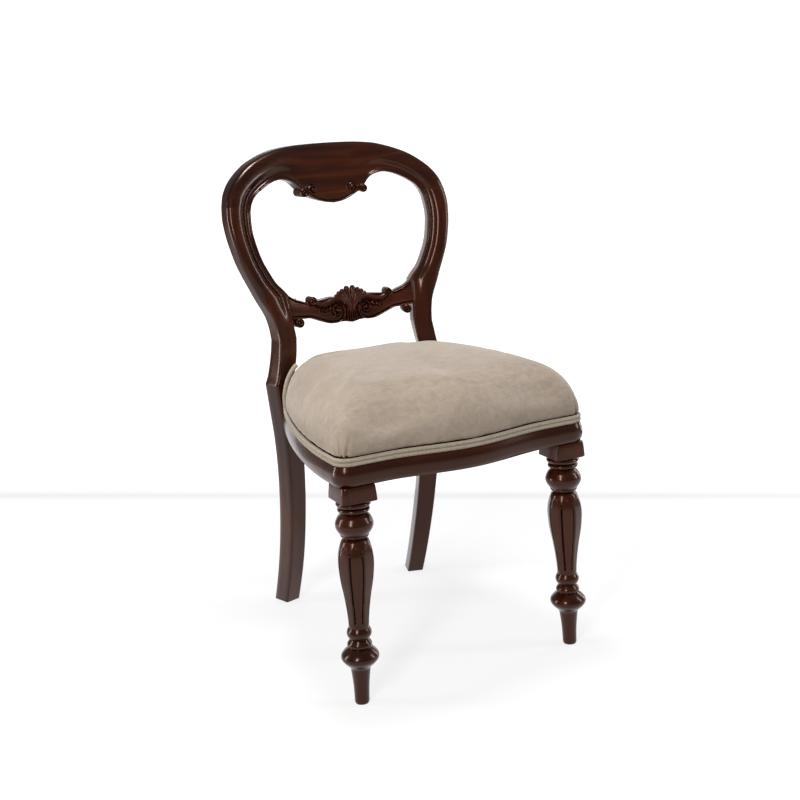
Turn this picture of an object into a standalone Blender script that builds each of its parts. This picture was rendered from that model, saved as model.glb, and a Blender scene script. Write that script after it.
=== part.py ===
"""A balloon-back dining chair: turned front legs, carved back, stuffed-over seat.

Run it with blender --background --python part.py, or from Blender's text editor.
Lengths are metres and +Z is up. The chair stands on z = 0 and faces -Y, x = 0 is
its plane of symmetry, and the origin is the middle of its footprint.

A place in plan is an x and a setback, the distance behind the line through the
two front legs. frame_y turns a setback into a y of the chair's frame.
"""
from math import atan, cos, hypot, pi, sin, sqrt

import bmesh
import bpy
from mathutils import Matrix, Vector

# Heights, each counted from the one before it
RAIL_LOW_HEIGHT = 0.378
RAIL_HEIGHT = 0.0495
KNEE_RISE = 0.0365
WAIST_RISE = 0.080
CROSS_JOINT_RISE = 0.034
CROSS_JOINT_SIZE = 0.0445
ARM_RISE = 0.1675
CREST_RISE = 0.100

# Rear legs and balloon, seen from the front
REAR_FOOT_X = 0.1385
REAR_FOOT_WIDTH = 0.030
KNEE_X = 0.15525
KNEE_WIDTH = 0.0385
WAIST_X = 0.14015
WAIST_WIDTH = 0.0349
CROSS_JOINT_STEP = 0.0028
BALLOON_HALF_WIDTH = 0.2228
OPENING_HALF_WIDTH = 0.1793

# Front-to-back sizes of the same members
REAR_FOOT_THICKNESS = 0.0382
KNEE_THICKNESS = 0.0364
WAIST_THICKNESS = 0.0334
CREST_JOINT_THICKNESS = 0.030
CREST_MIDDLE_THICKNESS = 0.034
CROSS_RAIL_THICKNESS = 0.022

# Side view and hollow plan of the back
BACK_SETBACK = 0.3895
RAKE_START_HEIGHT = 0.380
RAKE_RADIUS = 0.80
BEND_RISE = 0.0725
BEND_RADIUS = 0.30
BACK_LEAN = 0.17
CREST_BEND_RADIUS = 2.5
HOLLOW_SLOPE = 0.3057
HOLLOW_WIDTH = 0.160
LEG_TWIST = 0.113
LEG_TWIST_X = 0.140

# Seat frame
SEAT_HALF_WIDTH = 0.2357
FRONT_OVERHANG = 0.031
FRONT_BOW = 0.020
FRONT_LEG_INSET = 0.0357
BOW_END_INSET = 0.045
RAIL_END_INSET = 0.030
SEAT_CORNER_RADIUS = 0.030
SIDE_CURVE_POWER = 1.75
SIDE_RAIL_PROUD = 0.0025
RAIL_THICKNESS = 0.026
MOULDING_HEIGHT = 0.033
MOULDING_PROJECTION = 0.006
FRONT_JOINT_SETBACK = 0.030
FRONT_RAIL_INNER_SETBACK = -0.007
REAR_RAIL_THICKNESS = 0.022
REAR_RAIL_INSET = 0.0065

# Front legs
LEG_BLOCK_WIDTH = 0.057
LEG_BLOCK_HEIGHT = 0.027
LEG_BLOCK_FLARE = 0.0015
LEG_BLOCK_BEVEL = 0.004
TURNED_RADIUS = 0.0315
SPIGOT_RADIUS = 0.0125
SPIGOT_HEIGHT = 0.026
LEG_SPLAY = 0.0202
BULB_FACETS = 8
FACET_RAMP = 0.012
FACET_GROOVE = 0.0022

# Carving
SCROLL_RADIUS = 0.0055
SMALL_VOLUTE_RADIUS = 0.0045
SMALL_VOLUTE_PROUD = 0.002
SHELL_HALF_WIDTH = 0.030
SHELL_HEIGHT = 0.033
SHELL_PROUD = 0.006
SHELL_RIBS = 7
VOLUTE_RADIUS = 0.0125
VOLUTE_CORD_RADIUS = 0.0028
LEAF_CURL_RADIUS = 0.0065
LOWER_SCROLL_RADIUS = 0.0085
SCROLL_PROUD = 0.001

# Corner blocks, screws and dowels
BLOCK_HEIGHT = 0.024
BLOCK_LIFT = 0.004
FRONT_BLOCK_ARM = 0.038
REAR_BLOCK_ARM = 0.035
BLOCK_LENGTH = 0.055
BLOCK_NOSE = 0.012
SCREW_LENGTH = 0.030
SCREW_GRIP = 0.014
SCREW_RADIUS = 0.002
SCREW_HEAD_RADIUS = 0.004
SCREW_HEAD_HEIGHT = 0.003
DOWEL_RADIUS = 0.004
DOWEL_SEAT = 0.018
CREST_DOWEL_SPREAD = 0.0185

# Upholstery
WEBBING_WIDTH = 0.050
WEBBING_THICKNESS = 0.0012
CROSS_STRAPS = 4
LONG_STRAPS = 3
LONG_STRAP_PITCH_SHARE = 0.4
HESSIAN_THICKNESS = 0.0008
COVER_THICKNESS = 0.0012
DUST_CLOTH_THICKNESS = 0.0006
TACKING_MARGIN = 0.002
PIPING_DIAMETER = 0.007
PIPING_INSET = 0.0025
PIPING_BAND = 0.0175
CUSHION_RISE = 0.1035
CUSHION_WALL_RISE = 0.088
CUSHION_BULGE = 0.0018
SPINE_DROP = 0.0118
SPINE_FRONT_SETBACK = 0.115
SPINE_REAR_SETBACK = 0.300

# Steps of the seat's rim: half the bow, one corner, one side
FRONT_STEPS = 5
CORNER_STEPS = 4
SIDE_STEPS = 6

# Fits and fineness
CLEARANCE = 0.0003
OVERRUN = 0.002
ROUND_SIDES = 24
SMALL_SIDES = 8
SMOOTH_ANGLE = 0.6
MERGE_DISTANCE = 0.00005
SLOPE_STEP = 0.0005

RAIL_TOP_HEIGHT = RAIL_LOW_HEIGHT + RAIL_HEIGHT
KNEE_HEIGHT = RAIL_TOP_HEIGHT + KNEE_RISE
BEND_START_HEIGHT = RAIL_TOP_HEIGHT + BEND_RISE
WAIST_HEIGHT = KNEE_HEIGHT + WAIST_RISE
CROSS_JOINT_LOW = WAIST_HEIGHT + CROSS_JOINT_RISE
CROSS_JOINT_TOP = CROSS_JOINT_LOW + CROSS_JOINT_SIZE
CREST_JOINT_HEIGHT = CROSS_JOINT_TOP + ARM_RISE
OVERALL_HEIGHT = CREST_JOINT_HEIGHT + CREST_RISE
CROSS_JOINT_X = WAIST_X - WAIST_WIDTH / 2 + CROSS_JOINT_STEP
FRONT_LEG_X = SEAT_HALF_WIDTH - FRONT_LEG_INSET
BOW_HALF_WIDTH = FRONT_LEG_X - BOW_END_INSET
RAIL_END_X = FRONT_LEG_X - RAIL_END_INSET
REBATE_DEPTH = PIPING_INSET + PIPING_DIAMETER + COVER_THICKNESS + 2 * CLEARANCE

# Rear leg edges: height share from floor to knee, then inner and outer edge, each
# as a share of its way from where it is at the foot to where it is at the knee
LEG_EDGE_SHARES = (
    (0.0, 0.0, 0.0),
    (0.22, -0.13, 0.02),
    (0.43, -0.05, 0.12),
    (0.65, 0.11, 0.31),
    (0.78, 0.36, 0.50),
    (0.90, 0.70, 0.77),
    (1.0, 1.0, 1.0),
)

# The same for the short stretch from knee to waist
KNEE_EDGE_SHARES = (
    (0.0, 0.0, 0.0),
    (0.2, 0.19, 0.39),
    (0.575, 0.68, 0.74),
    (1.0, 1.0, 1.0),
)

# Balloon's outer edge: height share from waist to crest joint, then the share of
# the way from the waist's outer edge to the balloon's half width
ARM_OUTER_SHARES = (
    (0.0, 0.0),
    (0.09, 0.035),
    (0.18, 0.12),
    (0.31, 0.36),
    (0.40, 0.51),
    (0.49, 0.66),
    (0.58, 0.79),
    (0.675, 0.885),
    (0.77, 0.957),
    (0.90, 1.0),
    (1.0, 0.961),
)

# Balloon's inner edge above the cross rail's joint: height share from the joint's
# top to the crest joint, then the share from the joint to the opening's half width
ARM_INNER_SHARES = (
    (0.0, 0.0),
    (0.07, 0.17),
    (0.145, 0.385),
    (0.285, 0.625),
    (0.43, 0.82),
    (0.63, 0.965),
    (0.75, 1.0),
    (0.92, 0.955),
    (1.0, 0.877),
)

# Crest outlines from the joint to the middle: x as a share of the joint's x, and
# height as a share of the crest's rise
CREST_OUTER_SHARES = (
    (1.0, 0.0),
    (0.966, 0.225),
    (0.89, 0.455),
    (0.7535, 0.69),
    (0.612, 0.835),
    (0.475, 0.93),
    (0.379, 0.966),
    (0.293, 0.984),
    (0.217, 0.992),
    (0.111, 0.998),
    (0.0, 1.0),
)
CREST_INNER_SHARES = (
    (1.0, 0.0),
    (0.953, 0.115),
    (0.874, 0.221),
    (0.763, 0.325),
    (0.665, 0.38),
    (0.571, 0.388),
    (0.452, 0.314),
    (0.35, 0.13),
    (0.243, 0.005),
    (0.116, -0.075),
    (0.0, -0.11),
)

# Cross rail from its joint to the middle: x as a share of the joint's x, then the
# lower and the upper edge as shares of the joint's size above its low corner
CROSS_RAIL_SHARES = (
    (1.0, 0.0, 1.0),
    (0.90, -0.01, 0.81),
    (0.79, -0.05, 0.697),
    (0.70, -0.068, 0.591),
    (0.61, -0.16, 0.57),
    (0.50, -0.29, 0.60),
    (0.38, -0.405, 0.63),
    (0.28, -0.43, 0.66),
    (0.15, -0.405, 0.62),
    (0.0, -0.47, 0.62),
)

# Sections from inner back to outer back: share of the width from the inner edge,
# then depth behind the face as a share of the thickness
PLAIN_SECTION_SHARES = (
    (0.0, 1.0),
    (0.0, 0.06),
    (0.05, 0.0),
    (0.15, 0.0),
    (0.30, 0.0),
    (0.50, 0.0),
    (0.70, 0.0),
    (0.95, 0.0),
    (1.0, 0.06),
    (1.0, 1.0),
)
MOULDED_SECTION_SHARES = (
    (0.0, 1.0),
    (0.0, 0.14),
    (0.055, 0.07),
    (0.12, 0.12),
    (0.26, 0.22),
    (0.45, 0.04),
    (0.65, 0.0),
    (0.87, 0.07),
    (1.0, 0.32),
    (1.0, 1.0),
)
LOBE_SECTION_SHARES = (
    (0.0, 1.0),
    (0.0, 0.12),
    (0.02, 0.04),
    (0.05, 0.08),
    (0.2, 0.10),
    (0.4, 0.06),
    (0.6, 0.02),
    (0.85, 0.03),
    (1.0, 0.16),
    (1.0, 1.0),
)
CROSS_RAIL_SECTION_SHARES = (
    (0.0, 1.0),
    (0.0, 0.14),
    (0.10, 0.03),
    (0.20, 0.14),
    (0.50, 0.10),
    (0.80, 0.05),
    (1.0, 0.16),
    (1.0, 1.0),
)

# Moulded face of the seat rails: share of the projection, share of the height
RAIL_PROFILE_SHARES = (
    (-0.83, 0.0),
    (-0.25, 0.18),
    (0.0, 0.45),
    (-0.2, 0.75),
    (-0.7, 1.0),
)

# Turned elements from the floor up: height and radius at the top of each, how far
# its side swells past a straight line, and how many steps it is cut in
FOOT_RADIUS_SHARE = 0.356
TURNED_SHARES = (
    (0.0085, 0.390, 0.0, 1),
    (0.1715, 0.5175, -0.032, 3),
    (0.2017, 0.7587, -0.054, 2),
    (0.2772, 0.7365, 0.254, 5),
    (0.3225, 0.508, 0.0, 2),
    (0.3823, 0.533, 0.143, 4),
    (0.5556, 0.7524, -0.029, 3),
    (0.692, 0.952, 0.032, 3),
    (0.808, 0.705, 0.08, 4),
    (0.822, 0.571, 0.0, 1),
    (0.8368, 0.733, 0.0, 1),
    (0.9228, 0.8286, 0.203, 5),
    (0.940, 0.635, 0.0, 1),
    (0.951, 0.740, 0.0, 1),
    (1.0, 0.940, 0.063, 2),
)
BULB_LOW_SHARE = 0.3823
BULB_TOP_SHARE = 0.808

# Cushion's side: share of the shoulder's width inwards, share of its rise
CUSHION_SHARES = (0.0, 0.02, 0.06, 0.11, 0.17, 0.24, 0.31, 0.5, 0.75, 1.0)
SHOULDER_SHARE = 0.31
PIPING_END_SHARE = 0.24
PIPING_RAISED_SHARE = 0.55
STUFFING_INSET_SHARE = 2.4
STUFFING_BAND_SHARE = 4.5
BACK_COLUMN_SHARES = (1.0, 0.66, 0.33, 0.0)

# Rows of the shell's section: reach, share of the rail behind, share of the rib in front
SHELL_SECTION_SHARES = (
    (0.12, 0.7, 0.0),
    (1.0, 0.7, 0.0),
    (1.0, 0.0, 0.0),
    (0.8, 0.0, 1.0),
    (0.4, 0.0, 0.7),
    (0.12, 0.0, 0.4),
)
SHELL_SCALLOP_SHARE = 0.92
SHELL_GROOVE_SHARE = 0.4
VOLUTE_TURN = 2.6 * pi
VOLUTE_EYE_SHARE = 0.28
VOLUTE_TIP_SHARE = 0.65

# Places of carved details, as shares of the member that carries them
SCROLL_X_SHARE = 0.350
SCROLL_HEIGHT_SHARE = 0.13
SMALL_VOLUTE_X_SHARE = 0.2276
SMALL_VOLUTE_HEIGHT_SHARE = 0.177
SHELL_ORIGIN_SHARE = 0.348
VOLUTE_X_SHARE = 0.219
VOLUTE_HEIGHT_SHARE = 0.09
LEAF_CURL_X_SHARE = 0.6255
LEAF_CURL_HEIGHT_SHARE = 0.62
LOWER_SCROLL_X_SHARE = 0.8885
LOWER_SCROLL_HEIGHT_SHARE = -0.146

# Colour, roughness and metallic value of each stuff
FINISHES = {
    "mahogany": ((0.055, 0.018, 0.010), 0.22, 0.0),
    "beech": ((0.52, 0.36, 0.20), 0.60, 0.0),
    "steel": ((0.45, 0.45, 0.46), 0.35, 1.0),
    "jute": ((0.36, 0.26, 0.15), 0.90, 0.0),
    "hessian": ((0.42, 0.32, 0.19), 0.95, 0.0),
    "wadding": ((0.78, 0.75, 0.68), 0.95, 0.0),
    "velvet": ((0.45, 0.38, 0.29), 0.85, 0.0),
    "piping": ((0.60, 0.50, 0.37), 0.80, 0.0),
    "dust_cloth": ((0.02, 0.02, 0.02), 0.95, 0.0),
}


def clear_scene():
    """Remove every object and start the two collections."""
    for item in list(bpy.data.objects):
        bpy.data.objects.remove(item, do_unlink=True)
    for name in ("balloon_back_chair", "cutters"):
        group = bpy.data.collections.new(name)
        bpy.context.scene.collection.children.link(group)


def make_finish(name, stuff):
    """Principled material of one object."""
    colour, roughness, metallic = FINISHES[stuff]
    finish = bpy.data.materials.new(f"{name}_{stuff}")
    finish.use_nodes = True
    shader = finish.node_tree.nodes["Principled BSDF"]
    shader.inputs["Base Color"].default_value = (*colour, 1.0)
    shader.inputs["Roughness"].default_value = roughness
    shader.inputs["Metallic"].default_value = metallic
    return finish


def add_part(name, mesh, stuff):
    """Link a mesh to the chair as a named part with its own finish."""
    mesh.name = name
    mesh.shade_smooth()
    mesh.set_sharp_from_angle(angle=SMOOTH_ANGLE)
    mesh.materials.clear()
    mesh.materials.append(make_finish(name, stuff))
    part = bpy.data.objects.new(name, mesh)
    bpy.data.collections["balloon_back_chair"].objects.link(part)
    return part


def add_cutter(name, mesh):
    """Link a mesh as a hidden tool for Boolean modifiers."""
    cutter = bpy.data.objects.new(name, mesh)
    bpy.data.collections["cutters"].objects.link(cutter)
    cutter.hide_render = True
    cutter.display_type = "WIRE"
    return cutter


def combine(part, cutter, operation, self_crossing=False):
    """Boolean modifier between a part and a cutter."""
    tool = part.modifiers.new(f"{operation.lower()}_{cutter.name}", "BOOLEAN")
    tool.operation = operation
    tool.object = cutter
    tool.solver = "EXACT"
    tool.use_self = self_crossing


def mirror(part):
    """Mirror a half that is open at x = 0."""
    tool = part.modifiers.new("other_half", "MIRROR")
    tool.use_axis = (True, False, False)
    tool.use_clip = True
    tool.merge_threshold = MERGE_DISTANCE


def evaluated_mesh(item):
    """Plain mesh of an object with its modifiers, placed in the world."""
    bpy.context.view_layer.update()
    depsgraph = bpy.context.evaluated_depsgraph_get()
    mesh = bpy.data.meshes.new_from_object(item.evaluated_get(depsgraph))
    mesh.transform(item.matrix_world)
    return mesh


def loft(rings, cap_first=True, cap_last=True):
    """Mesh through rings of equal counts, left open at an end without a cap."""
    shape = bmesh.new()
    rows = [[shape.verts.new(point) for point in ring] for ring in rings]
    for low, high in zip(rows, rows[1:]):
        for index, corner in enumerate(low):
            after = (index + 1) % len(low)
            shape.faces.new((corner, low[after], high[after], high[index]))
    if cap_first:
        shape.faces.new(reversed(rows[0]))
    if cap_last:
        shape.faces.new(rows[-1])
    return finish_mesh(shape)


def finish_mesh(shape):
    """Turn the faces outwards and hand over the mesh."""
    bmesh.ops.recalc_face_normals(shape, faces=shape.faces)
    mesh = bpy.data.meshes.new("shape")
    shape.to_mesh(mesh)
    shape.free()
    return mesh


def join_meshes(meshes):
    """One mesh that holds the bodies of several."""
    shape = bmesh.new()
    for mesh in meshes:
        shape.from_mesh(mesh)
    joined = bpy.data.meshes.new("joined")
    shape.to_mesh(joined)
    shape.free()
    return joined


def flipped(mesh):
    """Copy of a mesh for the chair's other side."""
    shape = bmesh.new()
    shape.from_mesh(mesh)
    bmesh.ops.scale(shape, vec=(-1, 1, 1), verts=shape.verts)
    bmesh.ops.reverse_faces(shape, faces=shape.faces)
    copy = bpy.data.meshes.new("flipped")
    shape.to_mesh(copy)
    shape.free()
    return copy


def sided(mesh, side):
    """The mesh itself for side +1 and its mirror image for side -1."""
    return mesh if side > 0 else flipped(mesh)


def rod(start, end, radius, sides=SMALL_SIDES):
    """Closed cylinder between two points."""
    axis = end - start
    turn = axis.to_track_quat("Z", "Y").to_matrix().to_4x4()
    shape = bmesh.new()
    bmesh.ops.create_cone(
        shape,
        cap_ends=True,
        segments=sides,
        radius1=radius,
        radius2=radius,
        depth=axis.length,
        matrix=Matrix.Translation((start + end) / 2) @ turn,
    )
    return finish_mesh(shape)


def plate(outline, low, thickness):
    """Flat board from an outline in plan, made by a filled curve."""
    curve = bpy.data.curves.new("outline", "CURVE")
    curve.dimensions = "2D"
    curve.fill_mode = "BOTH"
    curve.extrude = thickness / 2
    line = curve.splines.new("POLY")
    line.points.add(len(outline) - 1)
    for point, place in zip(line.points, outline):
        point.co = (place[0], place[1], 0, 1)
    line.use_cyclic_u = True
    board = bpy.data.objects.new("outline", curve)
    bpy.context.scene.collection.objects.link(board)
    board.location.z = low + thickness / 2
    mesh = weld(evaluated_mesh(board))
    bpy.data.objects.remove(board, do_unlink=True)
    return mesh


def cord(points, radii):
    """Tapered tube along points, made by a bevelled curve."""
    curve = bpy.data.curves.new("cord", "CURVE")
    curve.dimensions = "3D"
    curve.bevel_depth = 1
    curve.bevel_resolution = 1
    curve.use_fill_caps = True
    line = curve.splines.new("POLY")
    line.points.add(len(points) - 1)
    for point, place, radius in zip(line.points, points, radii):
        point.co = (*place, 1)
        point.radius = radius
    tube = bpy.data.objects.new("cord", curve)
    bpy.context.scene.collection.objects.link(tube)
    mesh = weld(evaluated_mesh(tube))
    bpy.data.objects.remove(tube, do_unlink=True)
    return mesh


def weld(mesh):
    """Join a curve's loose caps to its sides."""
    shape = bmesh.new()
    shape.from_mesh(mesh)
    bmesh.ops.remove_doubles(shape, verts=shape.verts, dist=MERGE_DISTANCE)
    return finish_mesh(shape)


def turned(profile, sides):
    """Solid of revolution about Z from (radius, z) points, listed top to bottom."""
    mesh = bpy.data.meshes.new("profile")
    points = [(radius, 0, z) for radius, z in profile]
    edges = [(index, index + 1) for index in range(len(points) - 1)]
    mesh.from_pydata(points, edges, [])
    blank = bpy.data.objects.new("profile", mesh)
    bpy.context.scene.collection.objects.link(blank)
    lathe = blank.modifiers.new("lathe", "SCREW")
    lathe.steps = sides
    lathe.render_steps = sides
    lathe.use_merge_vertices = True
    lathe.merge_threshold = MERGE_DISTANCE
    solid = evaluated_mesh(blank)
    bpy.data.objects.remove(blank, do_unlink=True)
    return solid


def between(first, last, share):
    """Value or point at a share of the way from first to last."""
    return first + (last - first) * share


def ease(share):
    """Smooth step from 0 to 1."""
    share = min(max(share, 0), 1)
    return share * share * (3 - 2 * share)


def smooth_value(table, place):
    """Smooth curve through a table of (place, value) rows, read at one place."""
    last = len(table) - 1
    span = 0
    while span < last - 1 and place > table[span + 1][0]:
        span += 1
    before, after = table[max(span - 1, 0)], table[min(span + 2, last)]
    start, end = table[span], table[span + 1]
    reach = end[0] - start[0]
    slope_in = (end[1] - before[1]) / (end[0] - before[0])
    slope_out = (after[1] - start[1]) / (after[0] - start[0])
    t = (place - start[0]) / reach
    return (
        start[1] * (1 + 2 * t) * (1 - t) ** 2
        + end[1] * t * t * (3 - 2 * t)
        + slope_in * reach * t * (1 - t) ** 2
        - slope_out * reach * t * t * (1 - t)
    )


def smooth_line(points, steps):
    """Points along a smooth curve through the given ones, with steps to a span."""
    rows = [Vector(point) for point in points]
    line = []
    for index in range(len(rows) - 1):
        before = rows[index - 1] if index else 2 * rows[0] - rows[1]
        start, end = rows[index], rows[index + 1]
        last = index + 2 == len(rows)
        after = 2 * end - start if last else rows[index + 2]
        for step in range(steps):
            t = step / steps
            line.append(
                start * (1 + 2 * t) * (1 - t) ** 2
                + end * t * t * (3 - 2 * t)
                + (end - before) / 2 * t * (1 - t) ** 2
                - (after - start) / 2 * t * t * (1 - t)
            )
    line.append(rows[-1])
    return line


def side_profile(height):
    """Setback of the back's front face at the plane of symmetry."""
    if height < RAKE_START_HEIGHT:
        return BACK_SETBACK + (RAKE_START_HEIGHT - height) ** 2 / (2 * RAKE_RADIUS)
    if height < BEND_START_HEIGHT:
        return BACK_SETBACK
    bend = BACK_LEAN * BEND_RADIUS
    rise = height - BEND_START_HEIGHT
    if rise < bend:
        return BACK_SETBACK + rise ** 2 / (2 * BEND_RADIUS)
    rest = rise - bend
    return BACK_SETBACK + bend * BACK_LEAN / 2 + BACK_LEAN * rest + rest ** 2 / (2 * CREST_BEND_RADIUS)


def twist(height):
    """Extra turn of the legs' front faces, which fades out below the cross rail."""
    lowest = CROSS_JOINT_LOW + min(row[1] for row in CROSS_RAIL_SHARES) * CROSS_JOINT_SIZE
    fade = (height - KNEE_HEIGHT) / (lowest - KNEE_HEIGHT)
    return LEG_TWIST * (1 - ease(fade))


def back_setback(x, height):
    """Setback of the back's hollow front face."""
    hollow = HOLLOW_SLOPE * (hypot(x, HOLLOW_WIDTH) - HOLLOW_WIDTH)
    return side_profile(height) - hollow - twist(height) * (abs(x) - LEG_TWIST_X)


def face_angle(x, height):
    """Angle in plan by which that face turns inwards at x."""
    slope = HOLLOW_SLOPE * abs(x) / hypot(x, HOLLOW_WIDTH) + twist(height)
    return atan(slope) if x >= 0 else -atan(slope)


def rear_reach():
    """Setback of the rearmost point, at a rear foot's corner or the crest's middle."""
    inner_x = REAR_FOOT_X - REAR_FOOT_WIDTH / 2
    foot = back_setback(inner_x, 0) + REAR_FOOT_THICKNESS * cos(face_angle(inner_x, 0))
    return max(foot, side_profile(OVERALL_HEIGHT) + CREST_MIDDLE_THICKNESS)


def frame_y(setback):
    """The y of a setback: the footprint's middle is at y = 0."""
    return setback + (FRONT_OVERHANG + FRONT_BOW - rear_reach()) / 2


def back_point(x, height, depth):
    """Point of the back at a depth behind its front face."""
    angle = face_angle(x, height)
    return Vector((x + depth * sin(angle), frame_y(back_setback(x, height) + depth * cos(angle)), height))


def back_rod(x, height, front, back, radius, sides=SMALL_SIDES):
    """Cylinder square to the back's face, from one depth to another."""
    return rod(back_point(x, height, front), back_point(x, height, back), radius, sides)


def section_ring(inner, outer, thickness, shares):
    """Ring of points of a member between its inner and outer (x, height) edges."""
    ring = []
    for across, depth in shares:
        x, height = between(Vector(inner), Vector(outer), across)
        ring.append(back_point(x, height, depth * thickness))
    return ring


def blend_shares(plain, carved, share):
    """Section shares part of the way from a plain to a carved section."""
    return [tuple(between(Vector(a), Vector(b), share)) for a, b in zip(plain, carved)]


def stile_edges(height):
    """Inner and outer x of a rear leg and its arm at a height."""
    foot = (REAR_FOOT_X - REAR_FOOT_WIDTH / 2, REAR_FOOT_X + REAR_FOOT_WIDTH / 2)
    knee = (KNEE_X - KNEE_WIDTH / 2, KNEE_X + KNEE_WIDTH / 2)
    waist = (WAIST_X - WAIST_WIDTH / 2, WAIST_X + WAIST_WIDTH / 2)
    if height <= KNEE_HEIGHT:
        place = height / KNEE_HEIGHT
        inner = smooth_value([(row[0], row[1]) for row in LEG_EDGE_SHARES], place)
        outer = smooth_value([(row[0], row[2]) for row in LEG_EDGE_SHARES], place)
        return between(foot[0], knee[0], inner), between(foot[1], knee[1], outer)
    if height <= WAIST_HEIGHT:
        place = (height - KNEE_HEIGHT) / WAIST_RISE
        inner = smooth_value([(row[0], row[1]) for row in KNEE_EDGE_SHARES], place)
        outer = smooth_value([(row[0], row[2]) for row in KNEE_EDGE_SHARES], place)
        return between(knee[0], waist[0], inner), between(knee[1], waist[1], outer)
    place = (height - WAIST_HEIGHT) / (CREST_JOINT_HEIGHT - WAIST_HEIGHT)
    outer = between(waist[1], BALLOON_HALF_WIDTH, smooth_value(ARM_OUTER_SHARES, place))
    if height <= CROSS_JOINT_LOW:
        return between(waist[0], CROSS_JOINT_X, ease((height - WAIST_HEIGHT) / CROSS_JOINT_RISE)), outer
    if height <= CROSS_JOINT_TOP:
        return CROSS_JOINT_X, outer
    share = smooth_value(ARM_INNER_SHARES, (height - CROSS_JOINT_TOP) / ARM_RISE)
    return between(CROSS_JOINT_X, OPENING_HALF_WIDTH, share), outer


def stile_thickness(height):
    """Front-to-back size of a rear leg at a height."""
    table = (
        (0, REAR_FOOT_THICKNESS),
        (KNEE_HEIGHT, KNEE_THICKNESS),
        (WAIST_HEIGHT, WAIST_THICKNESS),
        (CREST_JOINT_HEIGHT, CREST_JOINT_THICKNESS),
    )
    return smooth_value(table, height)


def heights_between(low, high, count):
    """Evenly spaced heights, with the low end and without the high one."""
    return [between(low, high, index / count) for index in range(count)]


def rear_leg_mesh():
    """Right rear leg with its arm of the balloon, lofted from the floor up."""
    heights = (
        heights_between(0, RAIL_LOW_HEIGHT, 6)
        + [RAIL_LOW_HEIGHT]
        + heights_between(RAIL_TOP_HEIGHT, KNEE_HEIGHT, 2)
        + heights_between(KNEE_HEIGHT, WAIST_HEIGHT, 4)
        + heights_between(WAIST_HEIGHT, CROSS_JOINT_LOW, 2)
        + heights_between(CROSS_JOINT_LOW, CROSS_JOINT_TOP, 2)
        + heights_between(CROSS_JOINT_TOP, CREST_JOINT_HEIGHT, 10)
        + [CREST_JOINT_HEIGHT]
    )
    carve_start = CROSS_JOINT_LOW
    rings = []
    for height in heights:
        inner_x, outer_x = stile_edges(height)
        carved = ease((height - carve_start) / (2 * CROSS_JOINT_SIZE))
        shares = blend_shares(PLAIN_SECTION_SHARES, MOULDED_SECTION_SHARES, carved)
        top = min(height, CREST_JOINT_HEIGHT - CLEARANCE / 2)
        rings.append(section_ring((inner_x, top), (outer_x, top), stile_thickness(height), shares))
    return loft(rings)


def crest_outlines():
    """Inner and outer (x, height) outlines of the crest, joint to middle."""
    inner_x, outer_x = stile_edges(CREST_JOINT_HEIGHT)
    inner = [
        (x * inner_x, CREST_JOINT_HEIGHT + rise * CREST_RISE) for x, rise in CREST_INNER_SHARES
    ]
    outer = [
        (x * outer_x, CREST_JOINT_HEIGHT + rise * CREST_RISE) for x, rise in CREST_OUTER_SHARES
    ]
    return smooth_line(inner, 2), smooth_line(outer, 2)


def crest_mesh():
    """Right half of the crest, open at the plane of symmetry."""
    inner_line, outer_line = crest_outlines()
    lobe_start = inner_line[0].x * CREST_INNER_SHARES[4][0]
    rings = []
    for inner, outer in zip(inner_line, outer_line):
        share = 1 - inner.x / inner_line[0].x
        thickness = between(CREST_JOINT_THICKNESS, CREST_MIDDLE_THICKNESS, ease(share))
        lobe = ease(1 - inner.x / lobe_start)
        shares = blend_shares(MOULDED_SECTION_SHARES, LOBE_SECTION_SHARES, lobe)
        low = CREST_JOINT_HEIGHT + CLEARANCE / 2
        if inner is inner_line[0]:
            inner, outer = Vector((inner.x, low)), Vector((outer.x, low))
        rings.append(section_ring(inner, outer, thickness, shares))
    return loft(rings, cap_last=False)


def both_sides(mesh):
    """A mesh and its mirror image as one cutter mesh."""
    return join_meshes([mesh, flipped(mesh)])


def make_crest():
    """Crest rail with its four scrolls and the holes for its dowels."""
    crest = add_part("crest_rail", crest_mesh(), "mahogany")
    mirror(crest)
    inner_x = stile_edges(CREST_JOINT_HEIGHT)[0]
    height = CREST_JOINT_HEIGHT + SCROLL_HEIGHT_SHARE * CREST_RISE
    x = inner_x * SCROLL_X_SHARE
    scroll = back_rod(x, height, -SCROLL_PROUD, CREST_JOINT_THICKNESS, SCROLL_RADIUS, 12)
    combine(crest, add_cutter("crest_scrolls", both_sides(scroll)), "UNION")
    height = CREST_JOINT_HEIGHT + SMALL_VOLUTE_HEIGHT_SHARE * CREST_RISE
    x = inner_x * SMALL_VOLUTE_X_SHARE
    volute = back_rod(x, height, -SMALL_VOLUTE_PROUD, SMALL_VOLUTE_RADIUS * 2, SMALL_VOLUTE_RADIUS, 12)
    combine(crest, add_cutter("crest_volutes", both_sides(volute)), "UNION")
    holes = join_meshes([rod(*ends, DOWEL_RADIUS + CLEARANCE) for ends in crest_dowel_ends(CLEARANCE)])
    combine(crest, add_cutter("crest_dowel_holes", both_sides(holes)), "DIFFERENCE")


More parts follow.
